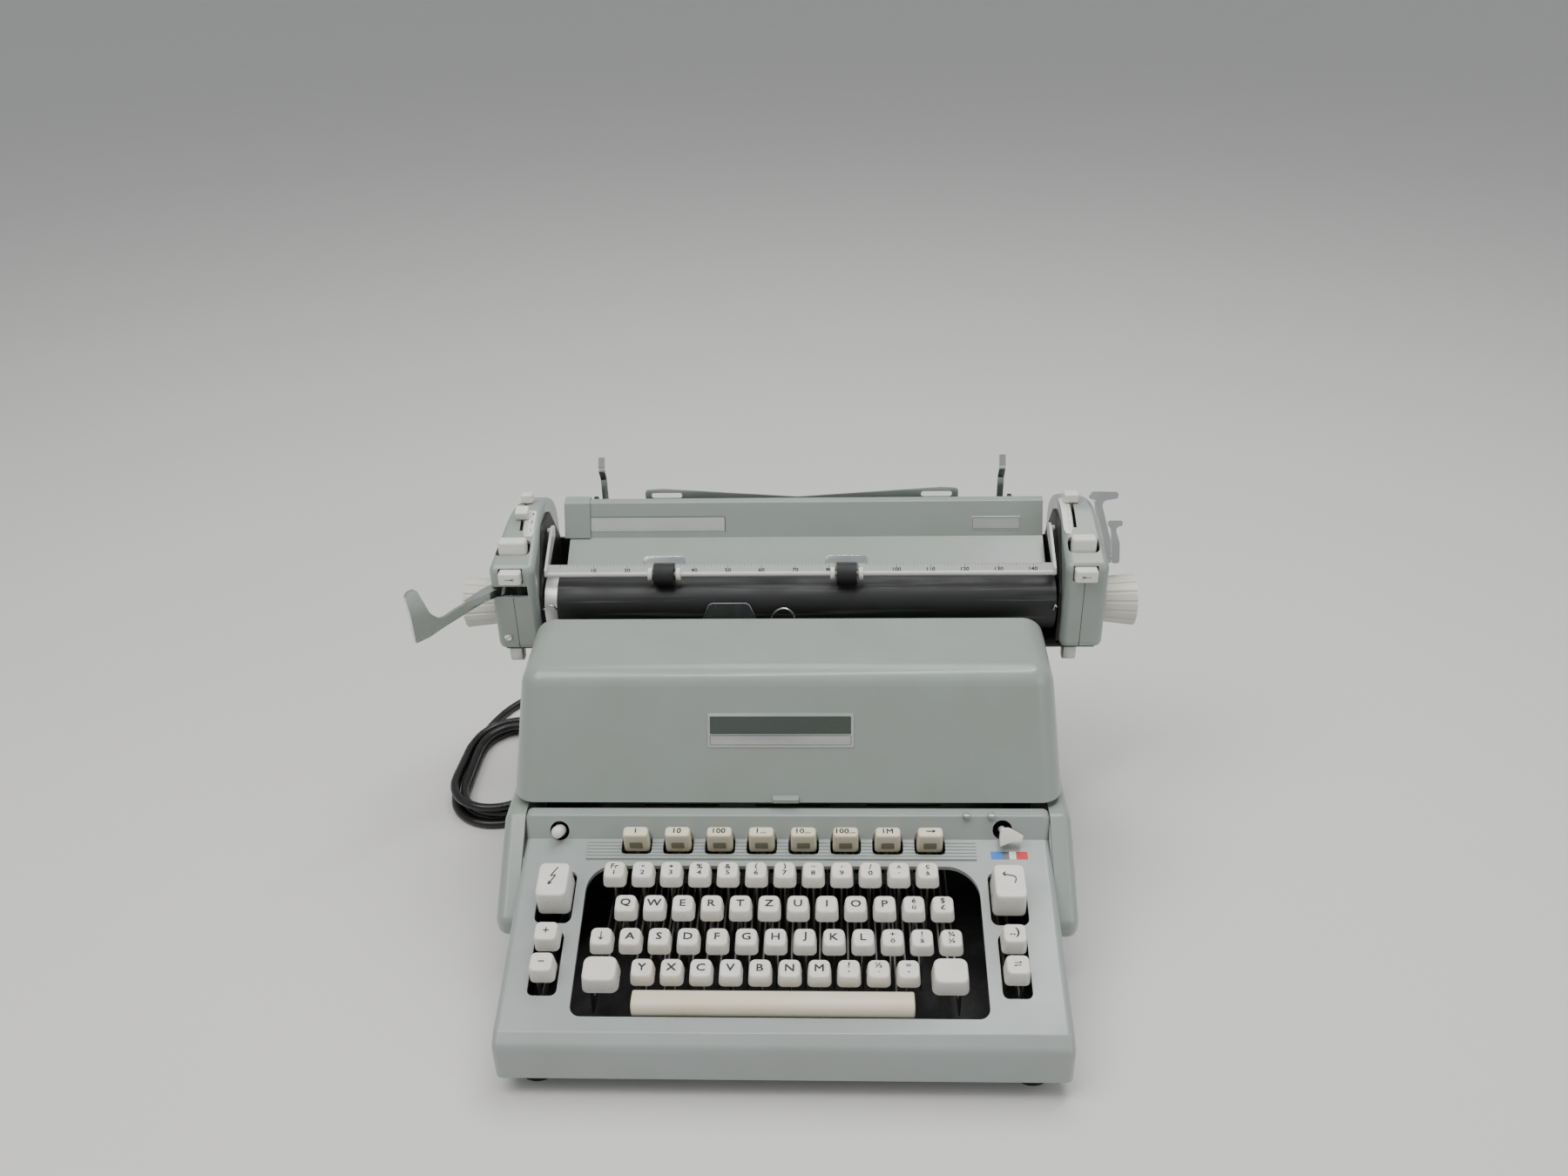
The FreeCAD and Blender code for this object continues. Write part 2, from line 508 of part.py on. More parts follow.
# ---- mechanism -----------------------------------------------------------------------------------------
def chassis_frame():
    plates = []
    for side in (-1, 1):
        x = side * FRAME_X
        outline = [(-76, 19), (-76, 34, 4), (30, 56, 20), (92, 96, 6), (150, 100, 4), (150, 172, 4),
                   (HINGE_Y - 8, 192, 4), (HINGE_Y + 8, 192, 4), (HINGE_Y + 8, 140, 6), (288, 140, 5),
                   (288, 19, 4)]
        plate = prism_x(outline, x - 1.5, x + 1.5)
        holes = [rod_x(x - 5, x + 5, FULCRUM_Y, FULCRUM_Z, FULCRUM_R),
                 rod_x(x - 5, x + 5, ROLL_Y, ROLL_Z, 3 + RUNNING),
                 rod_x(x - 5, x + 5, HINGE_Y, HINGE_Z, HINGE_R)]
        holes += [rod_x(x - 5, x + 5, y, 60.0, 12.0) for y in (100.0, 215.0, 255.0)]
        plates.append(plate.cut(Part.makeCompound(holes)))
    solids = plates
    solids.append(rod_x(-FRAME_X - 4, FRAME_X + 4, FULCRUM_Y, FULCRUM_Z, FULCRUM_R))
    solids.append(box(-FRAME_X + 1.5, FRAME_X - 1.5, -64.0, 112.0, 19.0, 20.2))
    for y, z in ((-71.0, 26.0), (120.0, 82.0), (282.0, 30.0), (282.0, 130.0)):
        solids.append(rod_x(-FRAME_X + 1.5, FRAME_X - 1.5, y, z, 4.0))
    for side in (-1, 1):
        pin_x = side * (FRAME_X + 2.5)
        solids.append(rod_x(pin_x - 4.0, pin_x + 4.0, HINGE_Y, HINGE_Z, HINGE_R))
        solids.append(slab(side * SPOOL_X, SPOOL_Y, 57, 60, SPOOL_Z - 6, SPOOL_Z - 4, 8)
                      .cut(rod_z(side * SPOOL_X, SPOOL_Y, SPOOL_Z - 9, SPOOL_Z, 3 + RUNNING)))
        solids.append(box(side * SPOOL_X - 12, side * SPOOL_X + 12, SPOOL_Y + 22, SPOOL_Y + 25, 100.0,
                          SPOOL_Z - 6))
    return solids


def carriage_rails():
    solids = []
    end_x = PANEL_HALF + 8.0
    for y in RAIL_YS:
        solids.append(rod_x(-end_x, end_x, y, RAIL_Z, RAIL_R))
        for side in (-1, 1):
            x0 = side * (end_x - 4.0)
            block = box(x0 - 4, x0 + 4, y - 8, y + 8, DECK_Z, RAIL_Z + 5.5)
            solids.append(block.cut(rod_x(x0 - 5, x0 + 5, y, RAIL_Z, RAIL_R)))
    return solids


def fan_angle(i):
    return -TYPEBAR_FAN / 2 + TYPEBAR_FAN * i / (TYPEBAR_COUNT - 1)


def about_print_axis(shape, degrees):
    return turned(shape, degrees, (0, PRINT_Y, PRINT_Z), (0, 1, 0))


def typebar():
    """The middle typebar at rest, pointing to the front from its pivot, with its type slug at the end."""
    y0, z0 = TYPE_PIVOT_Y, PRINT_Z - TYPE_PIVOT_DROP
    bar = prism_x([(y0 + 4, z0 - 3, 2), (y0 + 4, z0 + 3, 2), (y0 - TYPEBAR_LENGTH, z0 + 2.2),
                   (y0 - TYPEBAR_LENGTH, z0 - 2.2)], -0.5, 0.5)
    slug = box(-1.4, 1.4, y0 - TYPEBAR_LENGTH - 3, y0 - TYPEBAR_LENGTH, z0 - 3.5, z0 + 5.5)
    shape = bar.fuse(slug).removeSplitter().cut(rod_x(-2, 2, y0, z0, 1.0 + RUNNING))
    return turned(shape, TYPEBAR_REST_DROP, (0, y0, z0), (1, 0, 0))


def typebars():
    shape = typebar()
    return [about_print_axis(shape, fan_angle(i)) for i in range(TYPEBAR_COUNT) if i != CENTRE_BAR]


def type_segment():
    """The slotted half ring that carries the typebars, and their pivot wires."""
    outer, inner = TYPE_PIVOT_DROP + 9.0, TYPE_PIVOT_DROP - 7.0
    front, back = TYPE_PIVOT_Y - 7.0, TYPE_PIVOT_Y + 5.0
    ring = rod_y(0, front, back, PRINT_Z, outer).cut(rod_y(0, front - 1, back + 1, PRINT_Z, inner))
    ring = ring.common(box(-200, 200, front - 1, back + 1, 60.0, PRINT_Z - 12.0))
    slots = [about_print_axis(box(-0.75, 0.75, front - 1, back + 1, PRINT_Z - outer + 4,
                                  PRINT_Z - inner + 1),
                              fan_angle(i)) for i in range(TYPEBAR_COUNT)]
    return [ring.cut(Part.makeCompound(slots))]


def pivot_pin():
    """The pin through the middle typebar's pivot."""
    z0 = PRINT_Z - TYPE_PIVOT_DROP
    return [rod_x(-0.75, 0.75, TYPE_PIVOT_Y, z0, 1.0)]


def card_guide():
    """Clear guide plate in front of the platen, on a stalk that stands on the type segment."""
    plate = prism_y([(-66, 186), (-58, 205, 3), (-30, 205, 3), (-22, 186), (-22, 164), (-36, 152),
                     (-36, 116.5),
                     (-52, 116.5), (-52, 152), (-66, 164)], GUIDE_Y, GUIDE_Y + 1.2)
    foot = box(-48, -40, TYPE_PIVOT_Y + 5, GUIDE_Y, 116.5, 119.5)
    return [plate.fuse(foot).removeSplitter()]


def ribbon():
    """The inked ribbon between the spools, round its guide posts and past the printing point."""
    z0, z1 = SPOOL_Z - 1, SPOOL_Z + 12
    path = [(-SPOOL_X + 2, SPOOL_Y + 17), (-72, RIBBON_Y), (72, RIBBON_Y), (SPOOL_X - 2, SPOOL_Y + 17)]
    outline = [V(x, y, z0) for x, y in path] + [V(x, y + 0.5, z0) for x, y in reversed(path)]
    return [Part.Face(Part.makePolygon(outline + [outline[0]])).extrude(V(0, 0, z1 - z0))]


def ribbon_spool(side):
    x = side * SPOOL_X
    z = SPOOL_Z
    spool = rod_z(x, SPOOL_Y, z - 4, z - 2.8, 25).fuse(rod_z(x, SPOOL_Y, z + 13, z + 14.2, 25))
    spool = spool.fuse(rod_z(x, SPOOL_Y, z - 10, z + 18, 3)).fuse(rod_z(x, SPOOL_Y, z - 2.8, z + 13, 15))
    return [spool.removeSplitter()]


def drive_motor():
    can = rod_x(MOTOR_X - 55, MOTOR_X + 45, MOTOR_Y, MOTOR_Z, MOTOR_R)
    feet = box(MOTOR_X - 40, MOTOR_X + 30, MOTOR_Y - 22, MOTOR_Y + 22, BASE_Z + 2, MOTOR_Z - 22)
    body = can.fuse(feet).removeSplitter()
    return [body.cut(rod_x(MOTOR_X - 60, MOTOR_X - 30, MOTOR_Y, MOTOR_Z, 4.0 + RUNNING))]


def motor_pulley():
    shaft = rod_x(BELT_X - 8, MOTOR_X - 35, MOTOR_Y, MOTOR_Z, 4.0)
    return [shaft.fuse(grooved_pulley(MOTOR_Y, MOTOR_Z, PULLEY_R)).removeSplitter()]


def grooved_pulley(y, z, r):
    wheel = rod_x(BELT_X - 5, BELT_X + 5, y, z, r + 2)
    groove = rod_x(BELT_X - 3, BELT_X + 3, y, z, r + 3).cut(rod_x(BELT_X - 4, BELT_X + 4, y, z, r))
    return wheel.cut(groove)


def power_roller():
    """The rubbered power roll that drives the typebars and functions, with its belt pulley."""
    shaft = rod_x(-FRAME_X - 4, FRAME_X + 4, ROLL_Y, ROLL_Z, 3.0)
    roll = rod_x(-132, 160, ROLL_Y, ROLL_Z, ROLL_R)
    return [shaft.fuse(roll).fuse(grooved_pulley(ROLL_Y, ROLL_Z, ROLL_PULLEY_R)).removeSplitter()]


def drive_belt():
    """A flat belt round both pulleys."""
    gap, thick, half = 0.12, 1.4, 2.4
    dy, dz = MOTOR_Y - ROLL_Y, MOTOR_Z - ROLL_Z
    span = math.hypot(dy, dz)
    tilt = math.atan2(dz, dy)
    lean = math.acos((ROLL_PULLEY_R - PULLEY_R) / span)

    def loop(grow):
        big, small = ROLL_PULLEY_R + gap + grow, PULLEY_R + gap + grow

        def at(cy, cz, r, a):
            return V(BELT_X - half, cy + r * math.cos(tilt + a), cz + r * math.sin(tilt + a))
        far = Part.Arc(at(MOTOR_Y, MOTOR_Z, small, lean), at(MOTOR_Y, MOTOR_Z, small, 0),
                       at(MOTOR_Y, MOTOR_Z, small, -lean))
        near = Part.Arc(at(ROLL_Y, ROLL_Z, big, -lean), at(ROLL_Y, ROLL_Z, big, math.pi),
                        at(ROLL_Y, ROLL_Z, big, lean))
        lower = Part.makeLine(at(MOTOR_Y, MOTOR_Z, small, -lean), at(ROLL_Y, ROLL_Z, big, -lean))
        upper = Part.makeLine(at(ROLL_Y, ROLL_Z, big, lean), at(MOTOR_Y, MOTOR_Z, small, lean))
        return Part.Face(Part.Wire([far.toShape(), lower, near.toShape(), upper])).extrude(V(2 * half, 0, 0))

    return [loop(thick).cut(loop(0))]


# ---- carriage ------------------------------------------------------------------------------------------
def carriage_frame():
    """Bed plate, rear lip, end plates and the shoes that run on the rails, each a piece of its own."""
    bed_y0, bed_y1, bed_z = 204.0, 292.0, 160.0
    depth = bed_y1 - bed_y0
    left, right, margin = LEFT_X0, RIGHT_X1, 5.0
    bed = prism_z([(left + margin, bed_y0), (right - margin, bed_y0),
                   (right - margin - RIGHT_TAPER * depth, bed_y1),
                   (left + margin + LEFT_TAPER * depth, bed_y1)], bed_z, HOUSING_LOW)
    lip = box(PLATE_LEFT, PLATE_RIGHT + PLATE_T, bed_y1 - PLATE_T, bed_y1, HOUSING_LOW, 212.0)
    solids = [bed, lip]
    outline = [(206, HOUSING_LOW, 3), (206, 205, 6), (236, 250, 8), (262, 250, 8), (290, 214, 6),
               (290, HOUSING_LOW)]
    for x in (PLATE_LEFT, PLATE_RIGHT):
        plate = prism_x(outline, x, x + PLATE_T)
        plate = plate.cut(rod_x(x - 1, x + PLATE_T + 1, PLATEN_Y, PLATEN_Z, SHAFT_R + RUNNING))
        solids.append(plate.cut(rod_x(x - 1, x + PLATE_T + 1, BAIL_PIVOT_Y, BAIL_PIVOT_Z,
                                      BAIL_PIVOT_R + RUNNING)))
    for x in SHOE_XS:
        for y in RAIL_YS:
            shoe = box(x - SHOE_HALF, x + SHOE_HALF, y - 8, y + 8, DECK_Z + 0.8, bed_z)
            solids.append(shoe.cut(rod_x(x - 17, x + 17, y, RAIL_Z, RAIL_R + RUNNING)))
    return solids


def housing_solid(inner_x, outer_x, taper, inset):
    """An end housing between its upright inner side and its outer side, which leans in to the rear."""
    i = inset
    low = HOUSING_LOW - (6 if i else 0)
    crown_y, crown_z = HOUSING_CROWN
    outline = [
        (HOUSING_FRONT + i, low, 0 if i else 7.0), (HOUSING_FRONT + i, HOUSING_SHOULDER_Z - i, 8.0 - i),
        (crown_y, crown_z - i, 40.0), (HOUSING_REAR - i, 246.0 - i, 26.0 - i),
        (HOUSING_REAR - i, low, 0 if i else 9.0),
    ]
    out = 1 if outer_x > inner_x else -1
    inner, outer = inner_x + out * i, outer_x - out * i

    def outer_at(y):
        return outer - out * taper * (y - HOUSING_FRONT)

    plan = [(inner, HOUSING_FRONT - 1), (outer_at(HOUSING_FRONT - 1), HOUSING_FRONT - 1),
            (outer_at(HOUSING_REAR + 1), HOUSING_REAR + 1), (inner, HOUSING_REAR + 1)]
    plan_solid = prism_z(plan, low - 1, crown_z + 5)
    solid = prism_x(outline, min(inner, outer), max(inner, outer)).common(plan_solid)

    def side_edge(m, d):
        on_inner = abs(m.x - inner) < 0.01
        on_outer = abs(m.x - outer_at(m.y)) < 0.02
        return (on_inner or on_outer) and m.z > low + 0.01

    return fillet(solid.removeSplitter(), 5.0 - i, side_edge)


def housing_top(y):
    """Height of the housings' arched top at Y, on its straight front slope."""
    crown_y, crown_z = HOUSING_CROWN
    slope = (crown_z - HOUSING_SHOULDER_Z) / (crown_y - HOUSING_FRONT)
    return HOUSING_SHOULDER_Z + slope * (y - HOUSING_FRONT)


def end_housing(inner_x, outer_x, taper, cuts):
    shell = housing_solid(inner_x, outer_x, taper, 0).cut(housing_solid(inner_x, outer_x, taper, WALL))
    shaft = rod_x(min(inner_x, outer_x) - 1, max(inner_x, outer_x) + 1, PLATEN_Y, PLATEN_Z, SHAFT_R + 1.5)
    return [shell.cut(Part.makeCompound(cuts + [shaft]))]


def key_windows(key_x, slider_x, top_half):
    """Openings for a housing's front key, its wide top key and the sliders on its crown."""
    front = box(key_x - 9.2, key_x + 9.2, HOUSING_FRONT - 2, HOUSING_FRONT + 8, 221.0, 232.5)
    top = opening_cut(key_x - top_half, key_x + top_half, 208.5, 221.5, (4, 4, 4, 4), 225, 260)
    slot = box(slider_x - 1.2, slider_x + 1.2, 229, 273, 236, 266)
    return [front, top, slot]


def left_end_housing():
    cuts = key_windows(LEFT_KEY_X, LEFT_SLIDER_X, 13.0)
    cuts.append(box(LEFT_X0 - 1, LEFT_X0 + 29, HOUSING_FRONT - 2, LEVER_PIVOT[1] + 10, LEVER_SLOT_Z0,
                    LEVER_SLOT_Z1))
    return end_housing(PLATE_LEFT, LEFT_X0, LEFT_TAPER, cuts)


def right_end_housing():
    cuts = key_windows(RIGHT_KEY_X, RIGHT_SLIDER_X, 11.5)
    cuts.append(rod_x(RIGHT_X1 - 9, RIGHT_X1 + 1, RELEASE_PIVOT[0], RELEASE_PIVOT[1], 4.0 + RUNNING))
    return end_housing(RIGHT_X0, RIGHT_X1, RIGHT_TAPER, cuts)


def margin_key(x):
    """Front key on an end housing, pushed straight in."""
    key = box(x - 8.2, x + 8.2, HOUSING_FRONT - 5.5, HOUSING_FRONT + 6, 221.8, 231.8)
    return [fillet(key, 1.6, lambda m, d: m.y < HOUSING_FRONT - 5.4 or (abs(d.y) > 0.9))]


def top_key(x, y, half):
    """Wide key on the slope of an end housing."""
    top = housing_top(y) + 7.0
    key = box(x - half, x + half, y - 5.0, y + 5.0, top - 24, top)
    return [fillet(key, 2.4, lambda m, d: m.z > top - 0.1 or abs(d.z) > 0.9)]


def slider_key(x, degrees, width):
    """Small cap on a blade that rides along the arch of an end housing, degrees forward of its crown."""
    top = ARCH_Z + ARCH_R + 7.5
    cap = box(x - width / 2, x + width / 2, ARCH_Y - 4.5, ARCH_Y + 4.5, top - 6.5, top)
    cap = fillet(cap, 1.5, lambda m, d: m.z > top - 0.1 or abs(d.z) > 0.9)
    blade = box(x - 0.8, x + 0.8, ARCH_Y - 2.5, ARCH_Y + 2.5, top - 20, top - 6.5)
    key = cap.fuse(blade).removeSplitter()
    return [turned(key, degrees, (x, ARCH_Y, ARCH_Z), (1, 0, 0))]


def paper_table():
    """Bent sheet behind the platen, and its two brackets."""
    outline = [(237.5, 214.5), (259.0, 227.4), (269.5, 252.6, 1.2), (276.0, 253.6, 1.5), (277.5, 248.0),
               (276.0, 247.6), (275.0, 252.2, 0.4), (270.6, 251.4, 0.4), (260.4, 226.2), (238.2, 213.3)]
    sheet = prism_x(outline, -172.0, 196.0)
    solids = [sheet]
    for x in (-150.0, 172.0):
        bracket = prism_x([(262.5, 229.0), (273.0, 247.0), (281.5, 247.0), (290.0, 212.0), (290.0, 170.0),
                           (284.0, 170.0), (276.0, 226.0)], x, x + 2)
        solids.append(bracket)
    return solids


def form_support():
    """Spring strip behind the paper table, higher at its slotted ends."""
    outline = [(-114, 243), (-114, 257.0, 3), (-100, 257.8, 3), (6, 250.5), (118, 257.8, 3), (132, 257.0, 3),
               (132, 243)]
    strip = prism_y(outline, 283.0, 284.2)
    cuts = [prism_y([(a, 250.0, 1.9), (b, 250.0, 1.9), (b, 254.6, 1.9), (a, 254.6, 1.9)], 282.0, 286.0)
            for a, b in ((-109, -85), (103, 127))]
    legs = [prism_x([(284.2, 243), (288.8, 243), (288.8, 200), (290, 200), (290, 247), (284.2, 247)], x,
                    x + 7)
            for x in (-60, 72)]
    return [strip.cut(Part.makeCompound(cuts))] + legs


def paper_support_arms():
    """Two bent arms on one cross rod, which fold back behind the paper table."""
    cross = rod_x(ARM_XS[0] - 10, ARM_XS[1] + 10, ARM_PIVOT_Y, ARM_PIVOT_Z, 2.0)
    for x in ARM_XS:
        arm = prism_x([(ARM_PIVOT_Y - 2, ARM_PIVOT_Z), (ARM_PIVOT_Y - 2, 262, 5), (ARM_PIVOT_Y - 8, 272, 6),
                       (ARM_PIVOT_Y - 3, 281), (ARM_PIVOT_Y - 1, 280), (ARM_PIVOT_Y - 5.2, 272, 6),
                       (ARM_PIVOT_Y + 1, 262, 5), (ARM_PIVOT_Y + 1, ARM_PIVOT_Z)], x - 2.5, x + 2.5)
        cross = cross.fuse(arm)
    return [cross.removeSplitter()]


def arm_brackets():
    """Lugs on the carriage that hold the paper support arms' cross rod."""
    solids = []
    for x in (ARM_XS[0] - 8, ARM_XS[1] + 8):
        lug = prism_x([(292.0, 205), (292.0, 240), (293.5, 245, 3), (300.5, 245, 3), (300.5, 236, 3),
                       (294.5, 205)],
                      x - 1.5, x + 1.5)
        solids.append(lug.cut(rod_x(x - 3, x + 3, ARM_PIVOT_Y, ARM_PIVOT_Z, 2.0 + RUNNING)))
    return solids


def paper_edge_guide():
    """Sheet saddle over the left end of the paper table, which slides along it."""
    outline = [(257.6, 228.0), (268.2, 253.6, 2.0), (277.4, 255.3, 2.0), (279.5, 248.2), (278.5, 247.9),
               (276.9, 254.3, 1.0), (269.1, 253.0, 1.0), (258.6, 227.6)]
    saddle = prism_x(outline, -176.0, -156.0)
    return [saddle]


def platen_roller():
    body = rod_x(PLATEN_X0, PLATEN_X1, PLATEN_Y, PLATEN_Z, PLATEN_R)
    return [body.cut(rod_x(PLATEN_X0 - 1, PLATEN_X1 + 1, PLATEN_Y, PLATEN_Z, SHAFT_R))]


def platen_shaft():
    """Steel shaft with the chromed ratchet sleeve at the platen's left end."""
    shaft = rod_x(LEFT_X0 - 20, RIGHT_X1 + 20, PLATEN_Y, PLATEN_Z, SHAFT_R)
    sleeve = rod_x(PLATE_LEFT + PLATE_T + 1.5, PLATEN_X0, PLATEN_Y, PLATEN_Z, PLATEN_R - 0.6)
    return [shaft.fuse(sleeve).removeSplitter()]


def platen_knob(x0, x1):
    """Flared knob with broad lands between narrow flutes; x0 is at the housing's side."""
    a, b = min(x0, x1), max(x0, x1)
    outward = x1 > x0
    ra, rb = (KNOB_SMALL_R, KNOB_LARGE_R) if outward else (KNOB_LARGE_R, KNOB_SMALL_R)
    knob = rod_x(a, b, PLATEN_Y, PLATEN_Z, ra, rb)
    tilt = math.degrees(math.atan2(KNOB_LARGE_R - KNOB_SMALL_R, b - a))
    middle = (KNOB_SMALL_R + KNOB_LARGE_R) / 2 + 0.7
    flute = rod_x(a - 4, b + 4, PLATEN_Y, PLATEN_Z + middle, 1.5)
    flute = turned(flute, -tilt if outward else tilt, ((a + b) / 2, PLATEN_Y, PLATEN_Z + middle), (0, 1, 0))
    flutes = [turned(flute, 360.0 * k / KNOB_FLUTES, (0, PLATEN_Y, PLATEN_Z),
                     (1, 0, 0)) for k in range(KNOB_FLUTES)]
    knob = knob.cut(Part.makeCompound(flutes))
    depth = b - a - 4
    return knob.cut(rod_x(a if outward else b - depth, a + depth if outward else b, PLATEN_Y, PLATEN_Z,
                          SHAFT_R))


def platen_knobs():
    return [platen_knob(LEFT_X0 + 1.2, LEFT_X0 - 25), platen_knob(RIGHT_X1 - 0.5, RIGHT_X1 + 25)]


def paper_bail():
    """Scale bar on two swinging arms, with the wire loops that carry the rollers."""
    rod = rod_x(BAIL_X0, BAIL_X1, BAIL_Y, BAIL_Z, 2.0)
    scale = turned(box(BAIL_X0 + 2, BAIL_X1 - 2, BAIL_Y - 0.6, BAIL_Y + 0.6, BAIL_Z - 1.5, BAIL_Z + 7.5),
                   -28.0, (0, BAIL_Y, BAIL_Z), (1, 0, 0))
    bail = rod.fuse(scale)
    for x in (BAIL_X0, BAIL_X1 - 2.0):
        arm = prism_x([(BAIL_Y - 4, BAIL_Z - 2.5, 2), (BAIL_PIVOT_Y + 1, BAIL_PIVOT_Z - 5, 3),
                       (BAIL_PIVOT_Y + 5, BAIL_PIVOT_Z + 4, 3), (BAIL_PIVOT_Y - 4, BAIL_PIVOT_Z + 5, 3),
                       (BAIL_Y - 2, BAIL_Z + 5, 2)], x, x + 2)
        bail = bail.fuse(arm)
    bail = bail.fuse(rod_x(PLATE_LEFT + 0.2, BAIL_X0 + 1, BAIL_PIVOT_Y, BAIL_PIVOT_Z, BAIL_PIVOT_R))
    bail = bail.fuse(rod_x(BAIL_X1 - 1, PLATE_RIGHT + PLATE_T - 0.2, BAIL_PIVOT_Y, BAIL_PIVOT_Z,
                           BAIL_PIVOT_R))
    notches = [rod_x(x - 8.5, x + 8.5, BAIL_Y, BAIL_Z, ROLLER_R + 0.8).cut(
                   rod_x(x - 9, x + 9, BAIL_Y, BAIL_Z, 2.0))
               for x in ROLLER_XS]
    return [bail.cut(Part.makeCompound(notches)).removeSplitter()]


def bail_rollers():
    rollers = []
    for x in ROLLER_XS:
        roller = rod_x(x - 7.5, x + 7.5, BAIL_Y, BAIL_Z, ROLLER_R)
        rollers.append(roller.cut(rod_x(x - 9, x + 9, BAIL_Y, BAIL_Z, 2.0 + RUNNING)))
    return rollers


def return_lever():
    """Line space and carriage return lever: a flat hub in the housing's slot and an upright finger blade."""
    z0, z1 = LEVER_SLOT_Z0 + 1.4, LEVER_SLOT_Z1 - 1.4
    hub = prism_z([(-6, -5.5, 5), (30, -5.5, 4), (50, -1.3), (50, 1.3), (30, 4, 4), (-6, 5.5, 5)], z0, z1)
    hub = hub.fuse(rod_z(0, 0, z0, z1, 8.0)).cut(rod_z(0, 0, z0 - 1, z1 + 1, LEVER_POST_R + RUNNING))
    blade = prism_y([
        (28, z1 - 0.4, 1), (57, 214.9, 30), (72, 212.4, 9), (80.5, 221, 14), (85.6, 236.5, 20),
        (88.5, 244.6, 4),
        (98.3, 244.8, 4.5), (96.4, 226, 20), (95.9, 203.2, 1.2), (84, 203, 12), (70, 205.4, 20),
        (28, 210.4, 1),
    ], -1.3, 1.3)
    lever = turned(hub.fuse(blade).removeSplitter(), LEVER_HEADING, (0, 0, 0), (0, 0, 1))
    return [moved(lever, LEVER_PIVOT[0], LEVER_PIVOT[1], 0)]


def lever_post():
    """Pivot post of the return lever, standing in the left end housing."""
    return [rod_z(LEVER_PIVOT[0], LEVER_PIVOT[1], HOUSING_LOW, LEVER_SLOT_Z1 + 1.0, LEVER_POST_R)]


def release_lever(outline, half_width):
    """A chromed lever beside the right end housing; its outline gives (x, height over the pivot)."""
    lever = prism_y(outline, -half_width, half_width)
    lever = turned(lever, -RELEASE_LEAN, (0, 0, 0), (1, 0, 0))
    return moved(lever, 0, RELEASE_PIVOT[0], RELEASE_PIVOT[1])


def paper_release_lever():
    x = RIGHT_X1
    lever = release_lever([
        (x + 1.2, -5, 2), (x + 6.4, -5, 2), (x + 6.4, 12, 14), (x - 0.5, 42, 4), (x + 12, 44, 2),
        (x + 12.5, 49, 2.2),
        (x - 9, 49.5, 3), (x - 8.5, 45, 1.8), (x - 4.4, 42, 2), (x - 4.4, 37, 8), (x + 1.2, 13, 12),
    ], 3.5)
    hub = rod_x(x - 6, x + 1.4, RELEASE_PIVOT[0], RELEASE_PIVOT[1], 4.0)
    bore = rod_x(x - 7, x + 8, RELEASE_PIVOT[0], RELEASE_PIVOT[1], 2.0 + RUNNING)
    return [lever.fuse(hub).removeSplitter().cut(bore)]


def platen_release_lever():
    x = RIGHT_X1
    lever = release_lever([
        (x + 7.2, -5, 2), (x + 13, -5, 2), (x + 13.4, 10, 12), (x + 10, 22, 3), (x + 15.5, 23.4, 1.4),
        (x + 15.5, 27.4, 1.6), (x + 4.6, 27.4, 1.6), (x + 4.6, 24, 1), (x + 6.6, 21, 3), (x + 7.2, 8, 8),
    ], 3.0)
    axle = rod_x(x - 7, x + 7.4, RELEASE_PIVOT[0], RELEASE_PIVOT[1], 2.0)
    return [lever.fuse(axle).removeSplitter()]


# ---- cord ----------------------------------------------------------------------------------------------
def cord_tube(points, name):
    """A round tube along straight runs joined by tangent arcs as large as the runs allow."""
    corners = [V(*p) for p in points]
    edges, radii = [], []
    start = corners[0]
    for before, p, after in zip(corners, corners[1:], corners[2:]):
        a, b = before - p, after - p
        run = min(a.Length, b.Length)
        half = a.getAngle(b) / 2
        reach = 0.45 * run
        radii.append(reach * math.tan(half))
        a.normalize()
        b.normalize()
        middle = a + b
        middle.normalize()
        centre = p + middle * (radii[-1] / math.sin(half))
        edges.append(Part.makeLine(start, p + a * reach))
        edges.append(Part.Arc(p + a * reach, centre - middle * radii[-1], p + b * reach).toShape())
        start = p + b * reach
    edges.append(Part.makeLine(start, corners[-1]))
    path = Part.Wire(edges)
    direction = corners[1] - corners[0]
    section = Part.Wire(Part.makeCircle(CORD_R, corners[0], direction))
    tube = path.makePipeShell([section], True, False)
    expected = math.pi * CORD_R ** 2 * path.Length
    print(name, "length", round(path.Length, 1), "radii", [round(r) for r in radii],
          "volume ratio", round(tube.Volume / expected, 4))
    return tube


def mains_cord():
    return [cord_tube(CORD_IN, "cord in"), cord_tube(CORD_OUT, "cord out")]


def cord_coil():
    x, y = COIL_CENTRE
    outer = slab(x, y, 2 * (COIL_BEND + COIL_BAND), 2 * (COIL_BEND + COIL_BAND + COIL_STRAIGHT), 0, COIL_TOP,
                 COIL_BEND + COIL_BAND - 0.01)
    inner = slab(x, y, 2 * (COIL_BEND - COIL_BAND), 2 * (COIL_BEND - COIL_BAND + COIL_STRAIGHT), -1,
                 COIL_TOP + 1,
                 COIL_BEND - COIL_BAND - 0.01)
    return [outer.cut(inner)]


def cord_gland():
    x, y, z = GLAND
    nut = rod_y(x, y, y + 4, z, 10.0)
    boss = rod_y(x, y - 5, y, z, 8.0)
    cone = Part.makeCone(6.5, 4.6, 14.0, V(x, y + 4, z), V(0, 1, 0))
    bore = rod_y(x, y - 6, y + 19, z, CORD_R)
    return [nut.fuse(boss).fuse(cone).removeSplitter().cut(bore), rod_y(x, y - 5, y + 18, z, CORD_R)]


